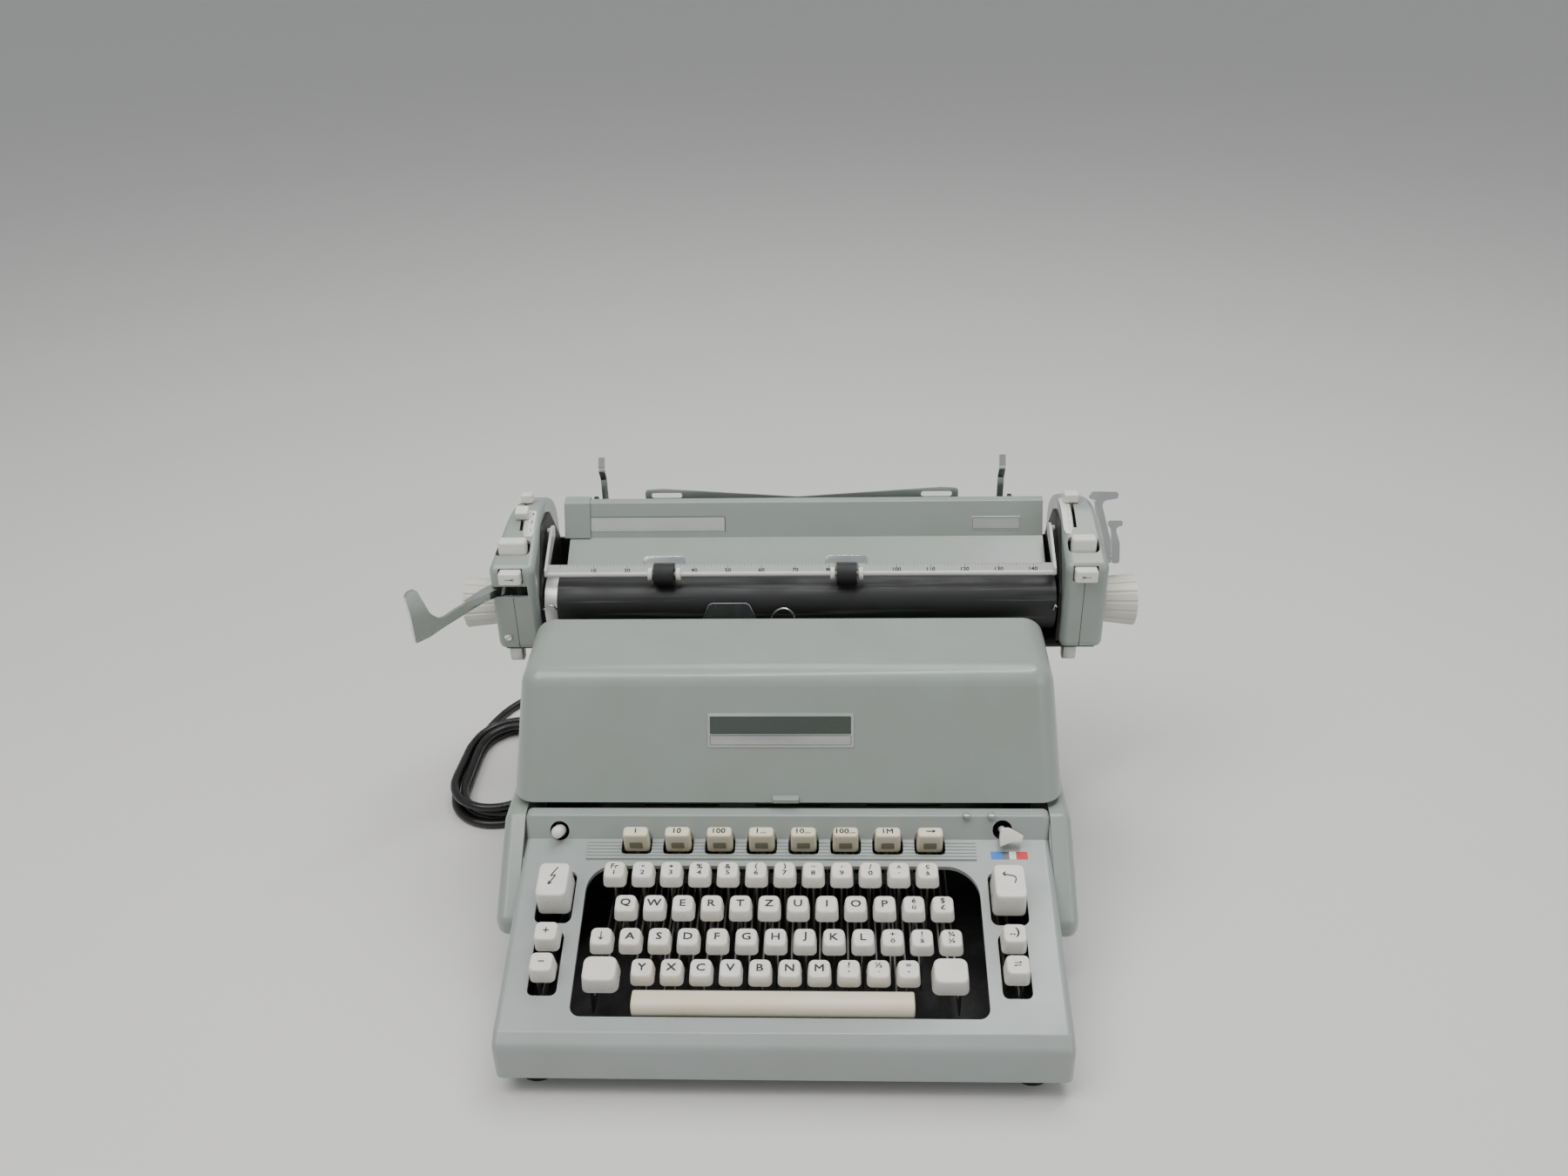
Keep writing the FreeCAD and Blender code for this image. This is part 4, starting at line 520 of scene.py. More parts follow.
def strokes(lines, width):
    """Straight pen strokes as thin quads: (points, faces)."""
    points, faces = [], []
    for (x0, y0), (x1, y1) in lines:
        length = math.hypot(x1 - x0, y1 - y0)
        nx, ny = -(y1 - y0) / length * width / 2, (x1 - x0) / length * width / 2
        base = len(points)
        points += [(x0 + nx, y0 + ny), (x0 - nx, y0 - ny), (x1 - nx, y1 - ny), (x1 + nx, y1 + ny)]
        faces.append((base, base + 1, base + 2, base + 3))
    return points, faces


DRAWN = {
    "down": strokes([((0, 3.0), (0, -2.6)), ((-1.5, -0.9), (0, -3.0)), ((1.5, -0.9), (0, -3.0))], 0.75),
    "right": strokes([((-3.2, 0), (3.0, 0)), ((1.6, 0.9), (3.3, 0)), ((1.6, -0.9), (3.3, 0))], 0.7),
    "swap": strokes([((-2.2, 0.9), (2.2, 0.9)), ((-2.2, -0.9), (2.2, -0.9)), ((1.2, 1.7), (2.4, 0.9)),
                     ((-1.2, -1.7), (-2.4, -0.9))], 0.6),
    "plus": strokes([((-2.0, 0), (2.0, 0)), ((0, -2.0), (0, 2.0))], 0.8),
    "minus": strokes([((-2.0, 0), (2.0, 0))], 0.8),
    "bolt": strokes([((2.6, 7.2), (-1.8, 0.8)), ((-1.8, 0.8), (1.6, 1.4)), ((1.6, 1.4), (-2.6, -5.8)),
                     ((-2.6, -5.8), (-2.2, -3.2)), ((-2.6, -5.8), (-0.2, -4.4))], 0.85),
    "return": strokes([((-4.4, 3.4), (3.4, 1.8)), ((3.4, 1.8), (4.2, -0.4)), ((4.2, -0.4), (3.0, -3.4)),
                       ((-4.4, 3.4), (-2.4, 5.0)), ((-4.4, 3.4), (-2.6, 1.8))], 0.85),
    "stop_right": strokes([((-3.2, 0), (2.4, 0)), ((3.2, -1.5), (3.2, 1.5)), ((1.2, 0.8), (2.6, 0)),
                           ((1.2, -0.8), (2.6, 0))], 0.5),
    "stop_left": strokes([((3.2, 0), (-2.4, 0)), ((-3.2, -1.5), (-3.2, 1.5)), ((-1.2, 0.8), (-2.6, 0)),
                          ((-1.2, -0.8), (-2.6, 0))], 0.5),
}


# ---- key caps -----------------------------------------------------------------------------------------
class Cap:
    """A moulded cap: rounded-rectangle rings up to a soft rim, and a dished top."""

    def __init__(self, width, depth, height, flare=1.9, corner=3.4, dish=0.6):
        self.dish, self.reach = dish, min(width, depth) / 2 - 1.0
        rim = [(flare, 0.0), (flare * 0.7, height * 0.35), (flare * 0.36, height * 0.68), (0.25, height - 1.7),
               (0.0, height - 1.15), (-0.4, height - 0.6), (-1.0, height - 0.22), (-1.7, height - 0.03),
               (-2.3, height)]
        rings = []
        for grow, z in rim:
            r = corner if grow >= 0 else corner + grow * 0.3
            rings.append([(x, y, z - height) for x, y in rounded_ring(width + grow, depth + grow, r, 4, 5)])
        inner = rounded_ring(width - 2.3, depth - 2.3, corner - 0.7, 4, 5)
        for share in (0.86, 0.7, 0.54, 0.38, 0.2):
            rings.append([(x * share, y * share, self.top(x * share, y * share)) for x, y in inner])
        count = len(rings[0])
        vertices = [p for ring in rings for p in ring] + [(0, 0, self.top(0, 0))]
        faces = [tuple(range(count - 1, -1, -1))] + ring_faces(len(rings) * count, count)
        last = (len(rings) - 1) * count
        faces += [(last + i, last + (i + 1) % count, len(vertices) - 1) for i in range(count)]
        self.shape = Shape().add(vertices, faces)

    def top(self, x, y):
        """Height of the dished top under its rim."""
        return -self.dish * (1 - min(1.0, (x * x + y * y) / self.reach ** 2))

    def letter(self, legends, drawing, x=0.0, y=0.0, matrix=None):
        """Adds a drawing on the dished top to a shape of legends."""
        points, faces = drawing
        legends.add([(x + u, y + v, self.top(x + u, y + v) + LEGEND_LIFT) for u, v in points], faces, matrix)


def tilted(x, y, top, degrees):
    return Matrix.Translation((x, y, top)) @ Matrix.Rotation(math.radians(degrees), 4, "X")


KEY_PITCH = 19.05
FULCRUM_Y = 140.0
LEVER_Z0, LEVER_Z1 = 33.0, 41.0      # lower and upper edge of the key levers under their stems
LEVER_HALF, STEM_HALF = 0.6, 3.0     # half their thickness, and half the depth of a stem


def lever_plate(x, y, foot, end):
    """A flat lever from its upright stem, which ends at the height foot, back to end."""
    outline = [(y - STEM_HALF, foot), (y - STEM_HALF, LEVER_Z0), (end, LEVER_Z0), (end, LEVER_Z1 + 2),
               (y + STEM_HALF, LEVER_Z1), (y + STEM_HALF, foot)]
    return extruded(outline, x - LEVER_HALF, x + LEVER_HALF)


def key_lever(x, y, top, height, tilt, tail=5.0):
    """The flat steel lever under a key, back to the fulcrum shaft."""
    lean = math.radians(tilt)
    foot = top - height / math.cos(lean) - STEM_HALF * math.tan(lean) + 0.2
    return lever_plate(x, y, foot, FULCRUM_Y + tail)


CAP_HEIGHT, CAP_TILT = 9.5, 12.0
ROWS = {
    "number_row_keys": (-113.86, KEY_PITCH, 100.2, [
        ("Fr", "1"), ('"', "2"), ("*", "3"), ("%", "4"), ("&", "5"), ("(", "6"), (")", "7"), ("_", "8"),
        ("'", "9"), ("/", "0"), ("^", "`"), ("\u00e7", "\u00e0")]),
    "upper_row_keys": (-104.78, 0.0, 88.0, list("QWERTZUIOP") + [
        ("\u00e9", "\u00fc"), ("$", "\u00a3")]),
    "home_row_keys": (-119.2, -KEY_PITCH, 76.9, ["down"] + list("ASDFGHJKL") + [
        ("+", "\u00f6"), ("!", "\u00e4"), ("\u00be", "\u00bc")]),
    "lower_row_keys": (-90.64, -2 * KEY_PITCH, 68.4, list("YXCVBNM") + [
        ("?", ","), ("\u00bd", "."), ("=", "-")]),
}
TYPING_KEY = ("upper_row_keys", 6)
BIG_Y, BIG_TOP, BIG_HEIGHT, BIG_TILT = 13.6, 96.5, 21.0, 15.0
SIDE_LEFT, SIDE_RIGHT = -155.0, 149.8
PAIR_HEIGHT, PAIR_TILT = 13.0, 14.0


class Keys:
    """Caps, legends and levers of one body, made into three pieces that stand for its CAD node."""

    def __init__(self, node, material=None):
        self.node, self.material = node, material or key_white
        self.caps, self.legends, self.levers = Shape(), Shape(), Shape()

    def key(self, cap, x, y, top, height, tilt, legend=None, lever_x=None, size=7.2, lift=0.6):
        place = tilted(x, y, top, tilt)
        self.caps.merge(cap.shape, place)
        if lever_x is not None:
            self.levers.merge(key_lever(lever_x, y, top, height, tilt))
        if isinstance(legend, tuple):
            cap.letter(self.legends, glyph(legend[0], 5.0), 0, 2.9, place)
            cap.letter(self.legends, glyph(legend[1], 5.1), 0, -1.9, place)
        elif legend in DRAWN:
            cap.letter(self.legends, DRAWN[legend], 0, lift, place)
        elif legend:
            cap.letter(self.legends, glyph(legend, size), 0, lift, place)

    def finish(self, smooth=50.0):
        self.caps.piece(self.node + ".caps", self.material, self.node, "key_white", (self.node,), smooth)
        if self.legends.faces:
            self.legends.piece(self.node + ".legends", black_ink, self.node)
        if self.levers.faces:
            self.levers.piece(self.node + ".levers", lever_steel, self.node, "steel")


def make_rows():
    cap = Cap(13.6, 13.4, CAP_HEIGHT)
    for node, (x0, y, top, legends) in ROWS.items():
        keys = Keys(node)
        for i, legend in enumerate(legends):
            if (node, i) != TYPING_KEY:
                x = x0 + i * KEY_PITCH
                keys.key(cap, x, y, top, CAP_HEIGHT, CAP_TILT, legend, x)
        keys.finish()
    x0, y, top, legends = ROWS[TYPING_KEY[0]]
    x = x0 + TYPING_KEY[1] * KEY_PITCH
    single = Keys("typing_key")
    single.key(cap, x, y, top, CAP_HEIGHT, CAP_TILT, legends[TYPING_KEY[1]], x)
    single.finish()


SHIFT_Y, SHIFT_TOP, SHIFT_HEIGHT = -41.0, 70.5, 13.0
SHIFT_TAIL = 10.0                    # the shift levers reach this far behind the fulcrum, to their cross bar


def make_shift_keys():
    keys = Keys("shift_keys")
    cap = Cap(21.5, 18.0, SHIFT_HEIGHT, 2.2, 4.5, 0.7)
    for x, lever_x in ((-117.5, -124.0), (107.5, 114.0)):
        keys.key(cap, x, SHIFT_Y, SHIFT_TOP, SHIFT_HEIGHT, CAP_TILT)
        keys.levers.merge(key_lever(lever_x, SHIFT_Y, SHIFT_TOP, SHIFT_HEIGHT, CAP_TILT, SHIFT_TAIL))
    bar_y = FULCRUM_Y + SHIFT_TAIL
    keys.levers.merge(block(-126.0, 116.0, bar_y, bar_y + 4, LEVER_Z0, LEVER_Z1))
    keys.finish()


def make_side_keys():
    big = Cap(20.4, 25.5, BIG_HEIGHT, 1.8, 3.6, 0.9)
    for node, x, lever_x, legend in (("power_key", SIDE_LEFT, -146.0, "bolt"),
                                     ("return_key", SIDE_RIGHT, 141.0, "return")):
        keys = Keys(node)
        keys.key(big, x, BIG_Y, BIG_TOP, BIG_HEIGHT, BIG_TILT, legend, lever_x, lift=2.0)
        keys.finish()
    small = Cap(14.6, 13.6, PAIR_HEIGHT, 1.6, 3.2, 0.6)
    keys = Keys("side_function_keys")
    rear, front = (-KEY_PITCH, 81.5), (-2 * KEY_PITCH - 1.5, 74.5)
    for x, (y, top), lever_x, legend in (
            (SIDE_LEFT, rear, -152.0, "plus"), (SIDE_LEFT, front, -158.5, "minus"),
            (SIDE_RIGHT, rear, 147.0, "..)"), (SIDE_RIGHT, front, 153.5, "swap")):
        keys.key(small, x, y, top, PAIR_HEIGHT, PAIR_TILT, legend, lever_x)
    keys.finish()


TAB_X0, TAB_PITCH, TAB_Y, TAB_TOP, TAB_HEIGHT, TAB_TILT = -103.5, 29.0, 52.0, 105.5, 17.0, 14.0
TAB_LEGENDS = ("1", "10", "100", "1...", "10...", "100...", "1M", "right")


def make_tab_keys():
    keys = Keys("tab_keys", key_ivory)
    cap = Cap(17.0, 8.2, TAB_HEIGHT, 0.9, 2.4, 0.35)
    stickers = Shape()
    for i, legend in enumerate(TAB_LEGENDS):
        x = TAB_X0 + i * TAB_PITCH
        keys.key(cap, x, TAB_Y, TAB_TOP, TAB_HEIGHT, TAB_TILT, legend, size=5.4)
        keys.levers.merge(block(x - 1.5, x + 1.5, TAB_Y + 1.5, TAB_Y + 6.5, 62.0, TAB_TOP - TAB_HEIGHT))
        place = tilted(x, TAB_Y, TAB_TOP, TAB_TILT)
        sticker = [(px, pz - 10.4) for px, pz in rounded_ring(9.0, 6.4, 0.8)]
        stickers.merge(extruded(sticker, -4.62, -4.5, "Y"), place)
    keys.levers.merge(block(TAB_X0 - 6, TAB_X0 + 7 * TAB_PITCH + 6, TAB_Y + 0.5, TAB_Y + 7.5, 58.0, 62.0))
    keys.finish()
    stickers.piece("tab_keys.stickers", sticker_paper, "tab_keys")


SPACE_Y, SPACE_TOP, SPACE_HEIGHT = -54.5, 60.0, 11.0
SPACE_X0, SPACE_X1 = -96.0, 84.0
SPACE_PROFILE = [                    # from the bar's middle and down from its top
    (-7.2, SPACE_HEIGHT), (-7.2, 4.2), (-6.6, 2.6), (-5.0, 1.0), (-3.0, 0.25), (0.0, 0.0), (4.6, 0.05),
    (6.2, 0.8), (6.8, 2.4), (6.8, SPACE_HEIGHT)]


def make_space_bar():
    """Cream bar with a rounded top and a lower front ledge."""
    profile = [(SPACE_Y + y, SPACE_TOP - down) for y, down in SPACE_PROFILE]
    bar = extruded(profile, SPACE_X0, SPACE_X1).bevelled(1.4, 3)
    bar.piece("space_bar.bar", key_ivory, "space_bar", "key_cream", ("space_bar",), 40)
    levers = Shape()
    for x in (-78.45, 73.95):
        levers.merge(lever_plate(x, SPACE_Y, SPACE_TOP - SPACE_HEIGHT, FULCRUM_Y + 5))
    levers.piece("space_bar.levers", lever_steel, "space_bar", "steel")


# ---- fittings on the casings ----------------------------------------------------------------------------
HOOD_FOOT_Y, HOOD_FOOT_Z = 76.0, 111.5   # lower edge of the cover's front face
HOOD_LEAN = math.atan2(37.0, 84.5)       # which leans back over 37 in a rise of 84.5


def on_hood_face(x, up):
    """Frame on the cover's front face: X along it, Y up it, Z out of it; up counts from its lower edge."""
    base = Vector((x, HOOD_FOOT_Y + up * math.sin(HOOD_LEAN), HOOD_FOOT_Z + up * math.cos(HOOD_LEAN)))
    return Matrix.Translation(base) @ Matrix.Rotation(math.pi / 2 - HOOD_LEAN, 4, "X")


def plate(width, height, thick, corner=1.2, z0=0.0):
    return extruded(rounded_ring(width, height, corner), z0, z0 + thick, "Z")


def make_badge():
    place = on_hood_face(-3.5, 51.5)
    frame_plate = Shape().merge(plate(102.0, 24.0, 0.7, 1.0).bevelled(0.25, 2), place)
    frame_plate.piece("badge.plate", badge_silver, "ribbon_cover", "bright_metal")
    band = Shape().merge(plate(98.5, 12.6, 0.25, 0.5, 0.7), place @ Matrix.Translation((0, 3.6, 0)))
    band.piece("badge.band", badge_enamel, "ribbon_cover", "trim_strip")
    lines = Shape()
    for y in (-3.9, -10.3):
        lines.merge(plate(98.0, 0.35, 0.06, 0.1, 0.7), place @ Matrix.Translation((0, y, 0)))
    for x in (-49.2, 49.2):
        lines.merge(plate(0.35, 6.4, 0.06, 0.1, 0.7), place @ Matrix.Translation((x, -7.1, 0)))
    lines.piece("badge.lines", black_ink, "ribbon_cover")


def make_cover_catches():
    """Two small catches on the surround's ridge, just in front of the cover and right of the middle."""
    catches = Shape()
    for x in (125.0, 142.0):
        catches.merge(block(x - 2.2, x + 2.2, 63.2, 67.4, 106.4, 110.2).bevelled(0.5, 2))
    catches.piece("chassis.cover_catches", rolled_steel, "chassis", "steel")


def make_colour_strip():
    """Printed strip under the ribbon selector: blue, dark, white and red fields."""
    y, x, half = 47.2, 141.0, 2.8
    fields = (("blue", mark_blue, 7.9), ("dark", mark_dark, 4.7), ("white", mark_white, 4.7),
              ("red", mark_red, 7.9))
    for name, material, width in fields:
        field = Shape()
        z0, z1 = panel_z(y - half) + 0.03, panel_z(y + half) + 0.03
        corners = [(x, y - half, z0), (x + width, y - half, z0), (x + width, y + half, z1), (x, y + half, z1)]
        field.add(corners + [(a, b, c + 0.12) for a, b, c in corners],
                  [(3, 2, 1, 0), (4, 5, 6, 7), (0, 1, 5, 4), (1, 2, 6, 5), (2, 3, 7, 6), (3, 0, 4, 7)])
        field.piece("colour_strip." + name, material, "chassis", "trim_strip")
        x += width


def screw(radius, thick, slot_turn):
    """A slotted screw head lying on Z = 0."""
    head = turned_profile([(0, radius * 0.98), (0, radius), (thick * 0.5, radius), (thick * 0.9, radius * 0.8),
                           (thick, radius * 0.6)], (0, 0, 0), "Z", 28)
    slot = Shape().merge(block(-radius * 0.8, radius * 0.8, -0.28, 0.28, thick + 0.01, thick + 0.06),
                         Matrix.Rotation(math.radians(slot_turn), 4, "Z"))
    return head, slot


STEM_AXIS = math.radians(58.0)       # how far the stems of the two panel controls lean towards the typist
RESET_KNOB, SELECTOR_STEM = (-158.5, 62.0, 97.5), (150.0, 62.0, 99.0)


def on_stem(x, y, z):
    """Frame on a panel control's stem: Z along it, Y up the panel."""
    return Matrix.Translation((x, y, z)) @ Matrix.Rotation(STEM_AXIS, 4, "X")


def make_panel_controls():
    """The white reset stub and the wedge-shaped ribbon selector."""
    profile = [(-6, 3.6), (-4, 4.1), (7.6, 4.3), (9.4, 4.1), (10.8, 3.4), (11.7, 2.2), (12.0, 0.9)]
    knob = Shape().merge(turned_profile(profile, (0, 0, 0), "Z", 28), on_stem(*RESET_KNOB))
    knob.piece("reset_knob.stub", key_white, "reset_knob", "key_white", ("reset_knob",), 50)
    outline = [(-2.2, 2.0), (3.6, 2.6), (13.2, -2.8), (12.6, -7.4), (3.2, -8.0), (-2.8, -10.6), (-3.0, -4.0)]
    wedge = extruded(outline, 4.6, 9.4, "Z").bevelled(0.9, 3)
    wedge.merge(turned_profile([(-6, 2.4), (5.0, 2.4)], (0, 0, 0), "Z", 20))
    selector = Shape().merge(wedge, on_stem(*SELECTOR_STEM))
    selector.piece("ribbon_selector.wedge", key_white, "ribbon_selector", "key_white",
                   ("ribbon_selector",), 40)


def make_screws():
    """Bright slotted screws on the left housing's front, the side casings and the rear wall."""
    forward = Matrix.Rotation(math.pi / 2, 4, "X")
    places = [("carriage", (-214.0, 197.0, 174.5), forward, 3.2, 35)]
    for side in (-1, 1):
        outward = Matrix.Rotation(side * math.pi / 2, 4, "Y")
        for y, z, turn in ((96.0, 62.0, 20), (276.0, 62.0, 65), (276.0, 128.0, 110)):
            places.append(("chassis", (side * 199.0, y, z), outward, 3.0, turn))
    backward = Matrix.Rotation(-math.pi / 2, 4, "X")
    for x, z, turn in ((-172.0, 34.0, 10), (172.0, 34.0, 75), (-172.0, 132.0, 130), (172.0, 132.0, 40)):
        places.append(("chassis", (x, 300.0, z), backward, 3.0, turn))
    for body in ("carriage", "chassis"):
        heads, slots = Shape(), Shape()
        for owner, place, facing, radius, turn in places:
            if owner == body:
                head, slot = screw(radius, 1.1, turn)
                heads.merge(head, Matrix.Translation(place) @ facing)
                slots.merge(slot, Matrix.Translation(place) @ facing)
        heads.piece(body + ".screws", chrome, body, "bright_metal")
        slots.piece(body + ".screw_slots", black_ink, body)


# ---- fittings on the carriage ---------------------------------------------------------------------------
SCALE_PITCH, SCALE_ZERO, SCALE_END = 2.54, -172.4, 190.0
BAIL_Y, BAIL_Z, BAIL_TILT = 213.0, 219.6, 28.0
ROLLER_XS = (-93.5, 44.0)


def on_bail(x, up):
    """Frame on the front of the bail's scale strip."""
    base = Matrix.Translation((0, BAIL_Y, BAIL_Z)) @ Matrix.Rotation(math.radians(-BAIL_TILT), 4, "X")
    return base @ Matrix.Translation((x, -0.6, up)) @ Matrix.Rotation(math.pi / 2, 4, "X")


def make_bail_scale():
    marks = Shape()
    count = int((SCALE_END - SCALE_ZERO) / SCALE_PITCH)
    for i in range(count + 1):
        x = SCALE_ZERO + i * SCALE_PITCH
        if any(abs(x - roller) < 12.5 for roller in ROLLER_XS):
            continue
        tall = 2.6 if i % 10 == 0 else 1.7 if i % 5 == 0 else 1.1
        marks.merge(plate(0.3, tall, 0.02, 0.05, 0.02), on_bail(x, 7.3 - tall / 2))
        if i % 10 == 0 and i:
            points, faces = glyph(str(i), 3.8)
            marks.add([(u, v, 0.04) for u, v in points], faces, on_bail(x, 3.1))
    marks.piece("paper_bail.marks", black_ink, "paper_bail")


def make_bail_fittings():
    """White collars beside each roller, and the bright rounded plates behind them."""
    collars, plates, rims = Shape(), Shape(), Shape()
    profile = [(0, 2.3), (0, 4.4), (0.5, 4.9), (3.0, 4.9), (3.6, 4.3), (3.6, 2.3)]
    for x in ROLLER_XS:
        for side in (-1, 1):
            ring = [(side * (8.7 + a), r) for a, r in profile]
            collars.merge(turned_profile(ring, (x, BAIL_Y, BAIL_Z), "X", 28))
        behind = on_bail(x, 8.2) @ Matrix.Translation((0, 0, -2.4))
        plates.merge(plate(33.0, 11.0, 0.8, 4.6).bevelled(0.25, 2), behind)
        rims.merge(plate(27.0, 5.4, 0.05, 2.4, 0.8), behind @ Matrix.Translation((0, 0.9, 0)))
    collars.piece("paper_bail.collars", key_white, "paper_bail", "key_white")
    plates.piece("paper_bail.plates", chrome, "paper_bail", "bright_metal")
    rims.piece("paper_bail.plate_wells", satin_alloy, "paper_bail", "bright_metal")


def on_table(x, up):
    """Frame on the upper face of the paper table, which rises from (259, 227.4) to (269.5, 252.6)."""
    lean = math.atan2(10.5, 25.2)
    base = Vector((x, 259.0 + up * math.sin(lean), 227.4 + up * math.cos(lean)))
    return Matrix.Translation(base) @ Matrix.Rotation(math.pi / 2 - lean, 4, "X")


def make_table_plates():
    name_plate = Shape().merge(plate(38.0, 10.5, 0.35, 0.6).bevelled(0.12, 1), on_table(160.0, 9.8))
    name_plate.piece("paper_table.name_plate", badge_silver, "carriage", "bright_metal")
    border = Shape()
    for w, h, x, y in ((36.0, 0.3, 0, 4.2), (36.0, 0.3, 0, -4.2), (0.3, 8.4, 18.0, 0), (0.3, 8.4, -18.0, 0)):
        border.merge(plate(w, h, 0.03, 0.05, 0.35), on_table(160.0, 9.8) @ Matrix.Translation((x, y, 0)))
    border.piece("paper_table.name_plate_border", black_ink, "carriage")
    strip = Shape().merge(plate(105.0, 11.0, 0.25, 0.5).bevelled(0.1, 1), on_table(-103.0, 10.5))
    strip.piece("paper_table.scale_strip", scale_grey, "carriage", "trim_strip")
    # Painted shade: dark lines just past the scale strip's top and right edges, where the raised strip throws
    # shade.
    strip_painted_shade = Shape()
    for w, h, x, y in ((105.0, 0.5, 0, 5.6), (0.5, 11.0, 52.6, 0)):
        strip_painted_shade.merge(plate(w, h, 0.3, 0.1), on_table(-103.0, 10.5) @ Matrix.Translation((x, y, 0)))
    strip_painted_shade.piece("paper_table.scale_strip_painted_shade", dark_seams_and_painted_shade, "carriage")
    ticks = Shape()
    for i in range(0, 101, 2):
        tall = 3.0 if i % 10 == 0 else 1.6
        ticks.merge(plate(0.18, tall, 0.02, 0.05, 0.25), on_table(-153.0 + i, 5.4 + tall / 2))
    ticks.piece("paper_table.scale_ticks", faded_ink, "carriage")


HOUSING_Y, SHOULDER_Z, CROWN_SLOPE = 197.0, 232.5, 0.5182    # front of the end housings, and their top's start
CROWN_Y0, CROWN_Y, CROWN_Z, CROWN_R = 237.5, 255.9, 218.0, 40.0
LEFT_KEY_X, RIGHT_KEY_X = -206.5, 219.0                      # middle of the housings' front keys


def crown_z(y):
    """Height of the end housings' top: a straight slope, then the rounded crown."""
    if y < CROWN_Y0:
        return SHOULDER_Z + CROWN_SLOPE * (y - HOUSING_Y)
    return CROWN_Z + math.sqrt(max(0.0, CROWN_R ** 2 - (y - CROWN_Y) ** 2))


def crown_strip(x0, x1, y0, y1, lift, thick, steps=18):
    """A thin band that lies along the housings' crown."""
    vertices, faces = [], []
    for i in range(steps + 1):
        y = y0 + (y1 - y0) * i / steps
        z = crown_z(y) + lift
        end = min(i, steps - i)
        inset = 1.6 if end == 0 else 0.5 if end == 1 else 0.0
        left, right = x0 + inset, x1 - inset
        vertices += [(left, y, z), (right, y, z), (right, y, z + thick), (left, y, z + thick)]
    for i in range(steps):
        a, b = 4 * i, 4 * i + 4
        faces += [(a + k, a + (k + 1) % 4, b + (k + 1) % 4, b + k) for k in range(4)]
    faces += [(0, 3, 2, 1), (4 * steps, 4 * steps + 1, 4 * steps + 2, 4 * steps + 3)]
    return Shape().add(vertices, faces)


def make_housing_marks():
    """Graduated white bands beside the slider slots, seams and arrows of the front keys."""
    bands = Shape().merge(crown_strip(-200.2, -192.6, 224.0, 247.0, 0.03, 0.25))
    bands.merge(crown_strip(205.8, 212.4, 224.0, 262.0, 0.03, 0.25))
    bands.piece("carriage.scale_bands", mark_white, "carriage", "key_white")
    ticks = Shape()
    for x0, width, y0, y1, every in ((-199.6, 2.6, 226.0, 245.0, 4), (209.6, 2.2, 226.0, 260.0, 5)):
        steps = 16 if x0 < 0 else 25
        for i in range(steps + 1):
            y = y0 + (y1 - y0) * i / steps
            long = width * (1.5 if i % every == 0 else 0.8)
            z0, z1 = crown_z(y - 0.12) + 0.3, crown_z(y + 0.12) + 0.3
            x1 = x0 + long
            ticks.add([(x0, y - 0.12, z0), (x1, y - 0.12, z0), (x1, y + 0.12, z1), (x0, y + 0.12, z1)],
                      [(0, 1, 2, 3)])
    for number, y in ((1, 229.0), (2, 236.0), (3, 243.0)):
        points, faces = glyph(str(number), 3.2)
        ticks.add([(-195.0 + u, y + v, crown_z(y + v) + 0.31) for u, v in points], faces)
    ticks.piece("carriage.scale_ticks", black_ink, "carriage")
    seams = Shape()
    for x, z1 in ((LEFT_KEY_X, 208.5), (RIGHT_KEY_X, 220.0)):
        seams.merge(block(x - 0.22, x + 0.22, 196.93, 197.3, 165.0, z1))
    seams.piece("carriage.seams", dark_seams_and_painted_shade, "carriage")
    for node, x, arrow in (("left_margin_key", LEFT_KEY_X, "stop_right"),
                           ("right_margin_key", RIGHT_KEY_X, "stop_left")):
        points, faces = DRAWN[arrow]
        marks = Shape().add([(x + u, 191.46, 226.8 + v) for u, v in points], faces)
        marks.piece(node + ".arrow", black_ink, node)


PLATEN_Y, PLATEN_Z = 225.0, 190.0


def make_carriage_trim():
    """Fingers at the platen's ends, its sleeve marks, the side pin and the brackets below the housings."""
    finger = wire(smooth_path([(-189.0, 214.0, 196.0), (-186.5, 203.5, 195.0), (-183.0, 201.0, 198.5),
                               (-178.5, 201.3, 199.0), (-175.5, 203.0, 194.0)]), 0.8)
    finger.merge(wire(smooth_path([(203.0, 214.0, 196.0), (201.5, 204.0, 195.0), (199.5, 202.0, 198.0),
                                   (198.3, 202.8, 193.0)]), 0.7))
    finger.piece("carriage.platen_fingers", chrome, "carriage", "bright_metal")
    marks = Shape()
    sleeve = Matrix.Translation((-181.0, PLATEN_Y, PLATEN_Z))
    for i in range(24):
        turn = sleeve @ Matrix.Rotation(math.radians(15.0 * i), 4, "X")
        marks.merge(block(-2.6, 2.6 if i % 3 == 0 else 0.6, -0.15, 0.15, 21.2, 21.3), turn)
    marks.piece("platen.sleeve_marks", black_ink, "platen")
    profile = [(0, 2.4), (-1.0, 3.0), (-3.4, 3.0), (-4.2, 2.4), (-4.4, 1.2)]
    pin = turned_profile(profile, (-214.6, 241.5, 238.5), "X", 24)
    pin.piece("carriage.side_pin", key_white, "carriage", "key_white")
    brackets = Shape()
    outline = [(204.0, 160.0), (204.0, 150.0), (208.0, 146.8), (214.0, 146.8), (216.0, 160.0)]
    stud = [(0, 2.6), (0, 3.4), (-1.4, 3.4), (-1.8, 2.4)]
    for x in (-212.0, 214.0):
        brackets.merge(extruded(outline, x - 5.0, x + 5.0).bevelled(0.8, 2))
        brackets.merge(turned_profile(stud, (x, 206.0, 153.5), "Y", 20))
    brackets.piece("carriage.brackets", rolled_steel, "carriage", "steel")


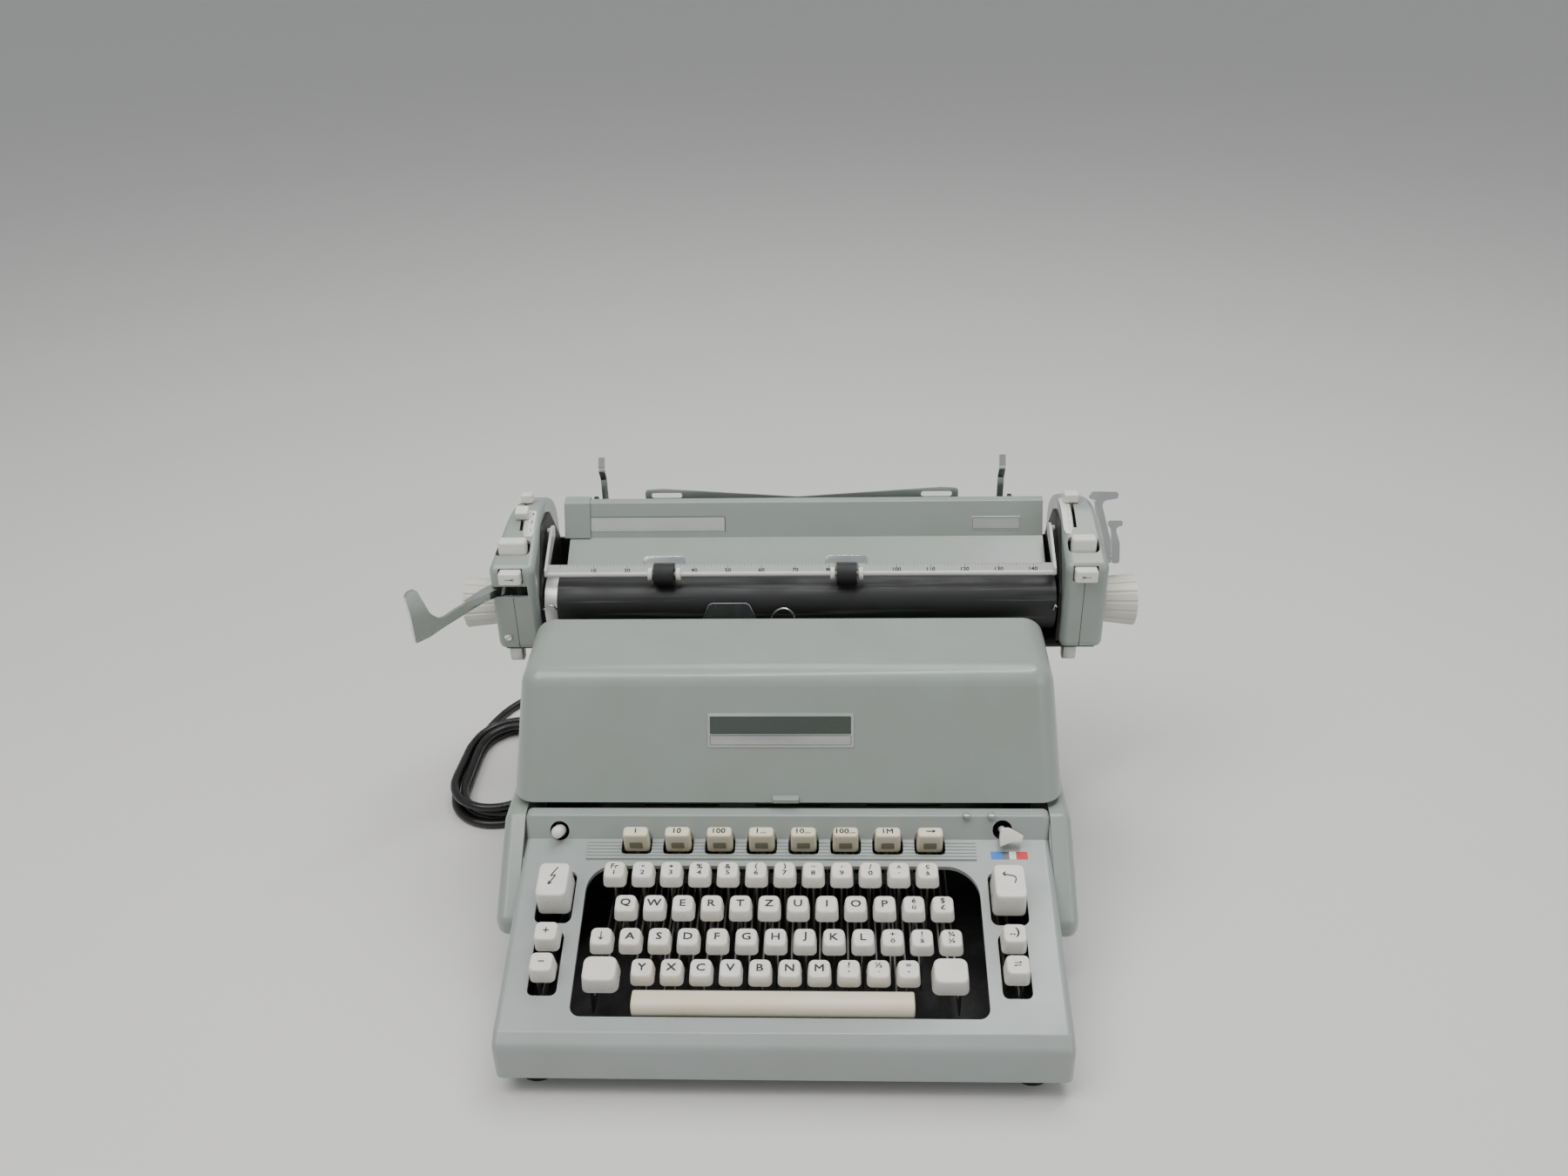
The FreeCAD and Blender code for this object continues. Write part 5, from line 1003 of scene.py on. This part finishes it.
def make_card_guide_edges():
    """A thin bright wire along the clear guide's edges, a painted highlight for the light they catch, and the
    bent wire beside it.
    """
    # Painted highlight: a bright satin wire drawn along the clear guide's edges where they catch the light.
    rim = [(x, 193.9, z) for x, z in ((-66, 164), (-66, 186), (-59.2, 203.6), (-56.5, 205), (-31.5, 205),
                                      (-28.8, 203.6), (-22, 186), (-22, 164))]
    wire(rim, 0.35, 6).piece("card_guide.edge_highlight", satin_alloy, "chassis", "clear_plastic")
    loop = smooth_path([(-14, 192.0, 178.0), (-12.5, 193.0, 192.0), (-8.0, 193.6, 199.0), (-2.0, 193.8, 200.4),
                        (3.0, 193.6, 197.0), (5.0, 193.0, 190.0), (5.5, 192.0, 178.0)])
    wire(loop, 0.7).piece("ribbon_vibrator.wire", chrome, "chassis", "steel")


# ---- cord ---------------------------------------------------------------------------------------------
CORD_R = 3.5
GLAND = (-70.0, 318.0, 44.0)
COIL_X, COIL_Y, COIL_BEND, COIL_STRAIGHT = -246.0, 252.0, 36.0, 30.0
COIL_TURNS, COIL_STEPS = 3.5, 16
OUTER_LANE, LANE_STEP, LAST_STEP = 4.4, 8.2, 4.0     # how far the turns lie off the coil's mean line
LAYERS = 7.2, 7.0                                    # how far the later turns climb over the first
CORD_IN = [
    GLAND, (-70.0, 352.0, 43.0), (-84.0, 384.0, 28.0), (-112.0, 404.0, 10.0), (-150.0, 410.0, 3.5),
    (-190.0, 404.0, 3.5), (-228.0, 388.0, 3.5), (-260.0, 362.0, 3.5), (-278.0, 328.0, 3.5),
]
CORD_OUT = [(-209.0, 318.0, 15.0), (-199.0, 343.0, 10.5), (-178.0, 358.0, 8.0), (-152.0, 360.0, 8.0)]


def eased(value, start, end):
    """0 before start, 1 after end, smooth between."""
    share = min(1.0, max(0.0, (value - start) / (end - start)))
    return share * share * (3 - 2 * share)


def coil_points():
    """Loose oval turns, anticlockwise from the left side: outside, inside, then back over them."""
    points = []
    side = 2 * COIL_STRAIGHT
    bend = math.pi * COIL_BEND
    lap = 2 * (side + bend)
    for i in range(int(COIL_TURNS * COIL_STEPS) + 1):
        turns = i / COIL_STEPS
        run = (turns % 1.0) * lap
        out = OUTER_LANE - LANE_STEP * eased(turns, 0.75, 1.0) + LANE_STEP * eased(turns, 2.25, 2.5)
        out -= LAST_STEP * eased(turns, 3.1, 3.4)
        height = CORD_R + LAYERS[0] * eased(turns, 1.5, 1.75) + LAYERS[1] * eased(turns, 3.0, 3.25)
        r = COIL_BEND + out
        if run < side:
            x, y = -r, COIL_STRAIGHT - run
        elif run < side + bend:
            a = math.pi + (run - side) / COIL_BEND
            x, y = r * math.cos(a), -COIL_STRAIGHT + r * math.sin(a)
        elif run < 2 * side + bend:
            x, y = r, -COIL_STRAIGHT + run - side - bend
        else:
            a = (run - 2 * side - bend) / COIL_BEND
            x, y = r * math.cos(a), COIL_STRAIGHT + r * math.sin(a)
        points.append((COIL_X + x, COIL_Y + y, height))
    return points


def make_cord():
    curve = bpy.data.curves.new("mains_cord_curve", "CURVE")
    curve.dimensions = "3D"
    curve.bevel_depth, curve.bevel_resolution, curve.resolution_u = CORD_R * MM, 5, 6
    spline = curve.splines.new("NURBS")
    points = CORD_IN + coil_points() + CORD_OUT
    spline.points.add(len(points) - 1)
    for point, place in zip(spline.points, points):
        point.co = (*at(*place), 1.0)
    spline.order_u = 3
    spline.use_endpoint_u = True
    cord = bpy.data.objects.new("mains_cord_sheath", curve)
    bpy.context.scene.collection.objects.link(cord)
    curve.materials.append(cord_sheath)
    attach(cord, "chassis")
    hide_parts("mains_cord", "cord_coil")


make_camera()
make_studio()
dress_cad()
make_rows()
make_shift_keys()
make_side_keys()
make_tab_keys()
make_space_bar()
make_badge()
make_cover_catches()
make_colour_strip()
make_panel_controls()
make_screws()
make_bail_scale()
make_bail_fittings()
make_table_plates()
make_housing_marks()
make_carriage_trim()
make_card_guide_edges()
make_cord()
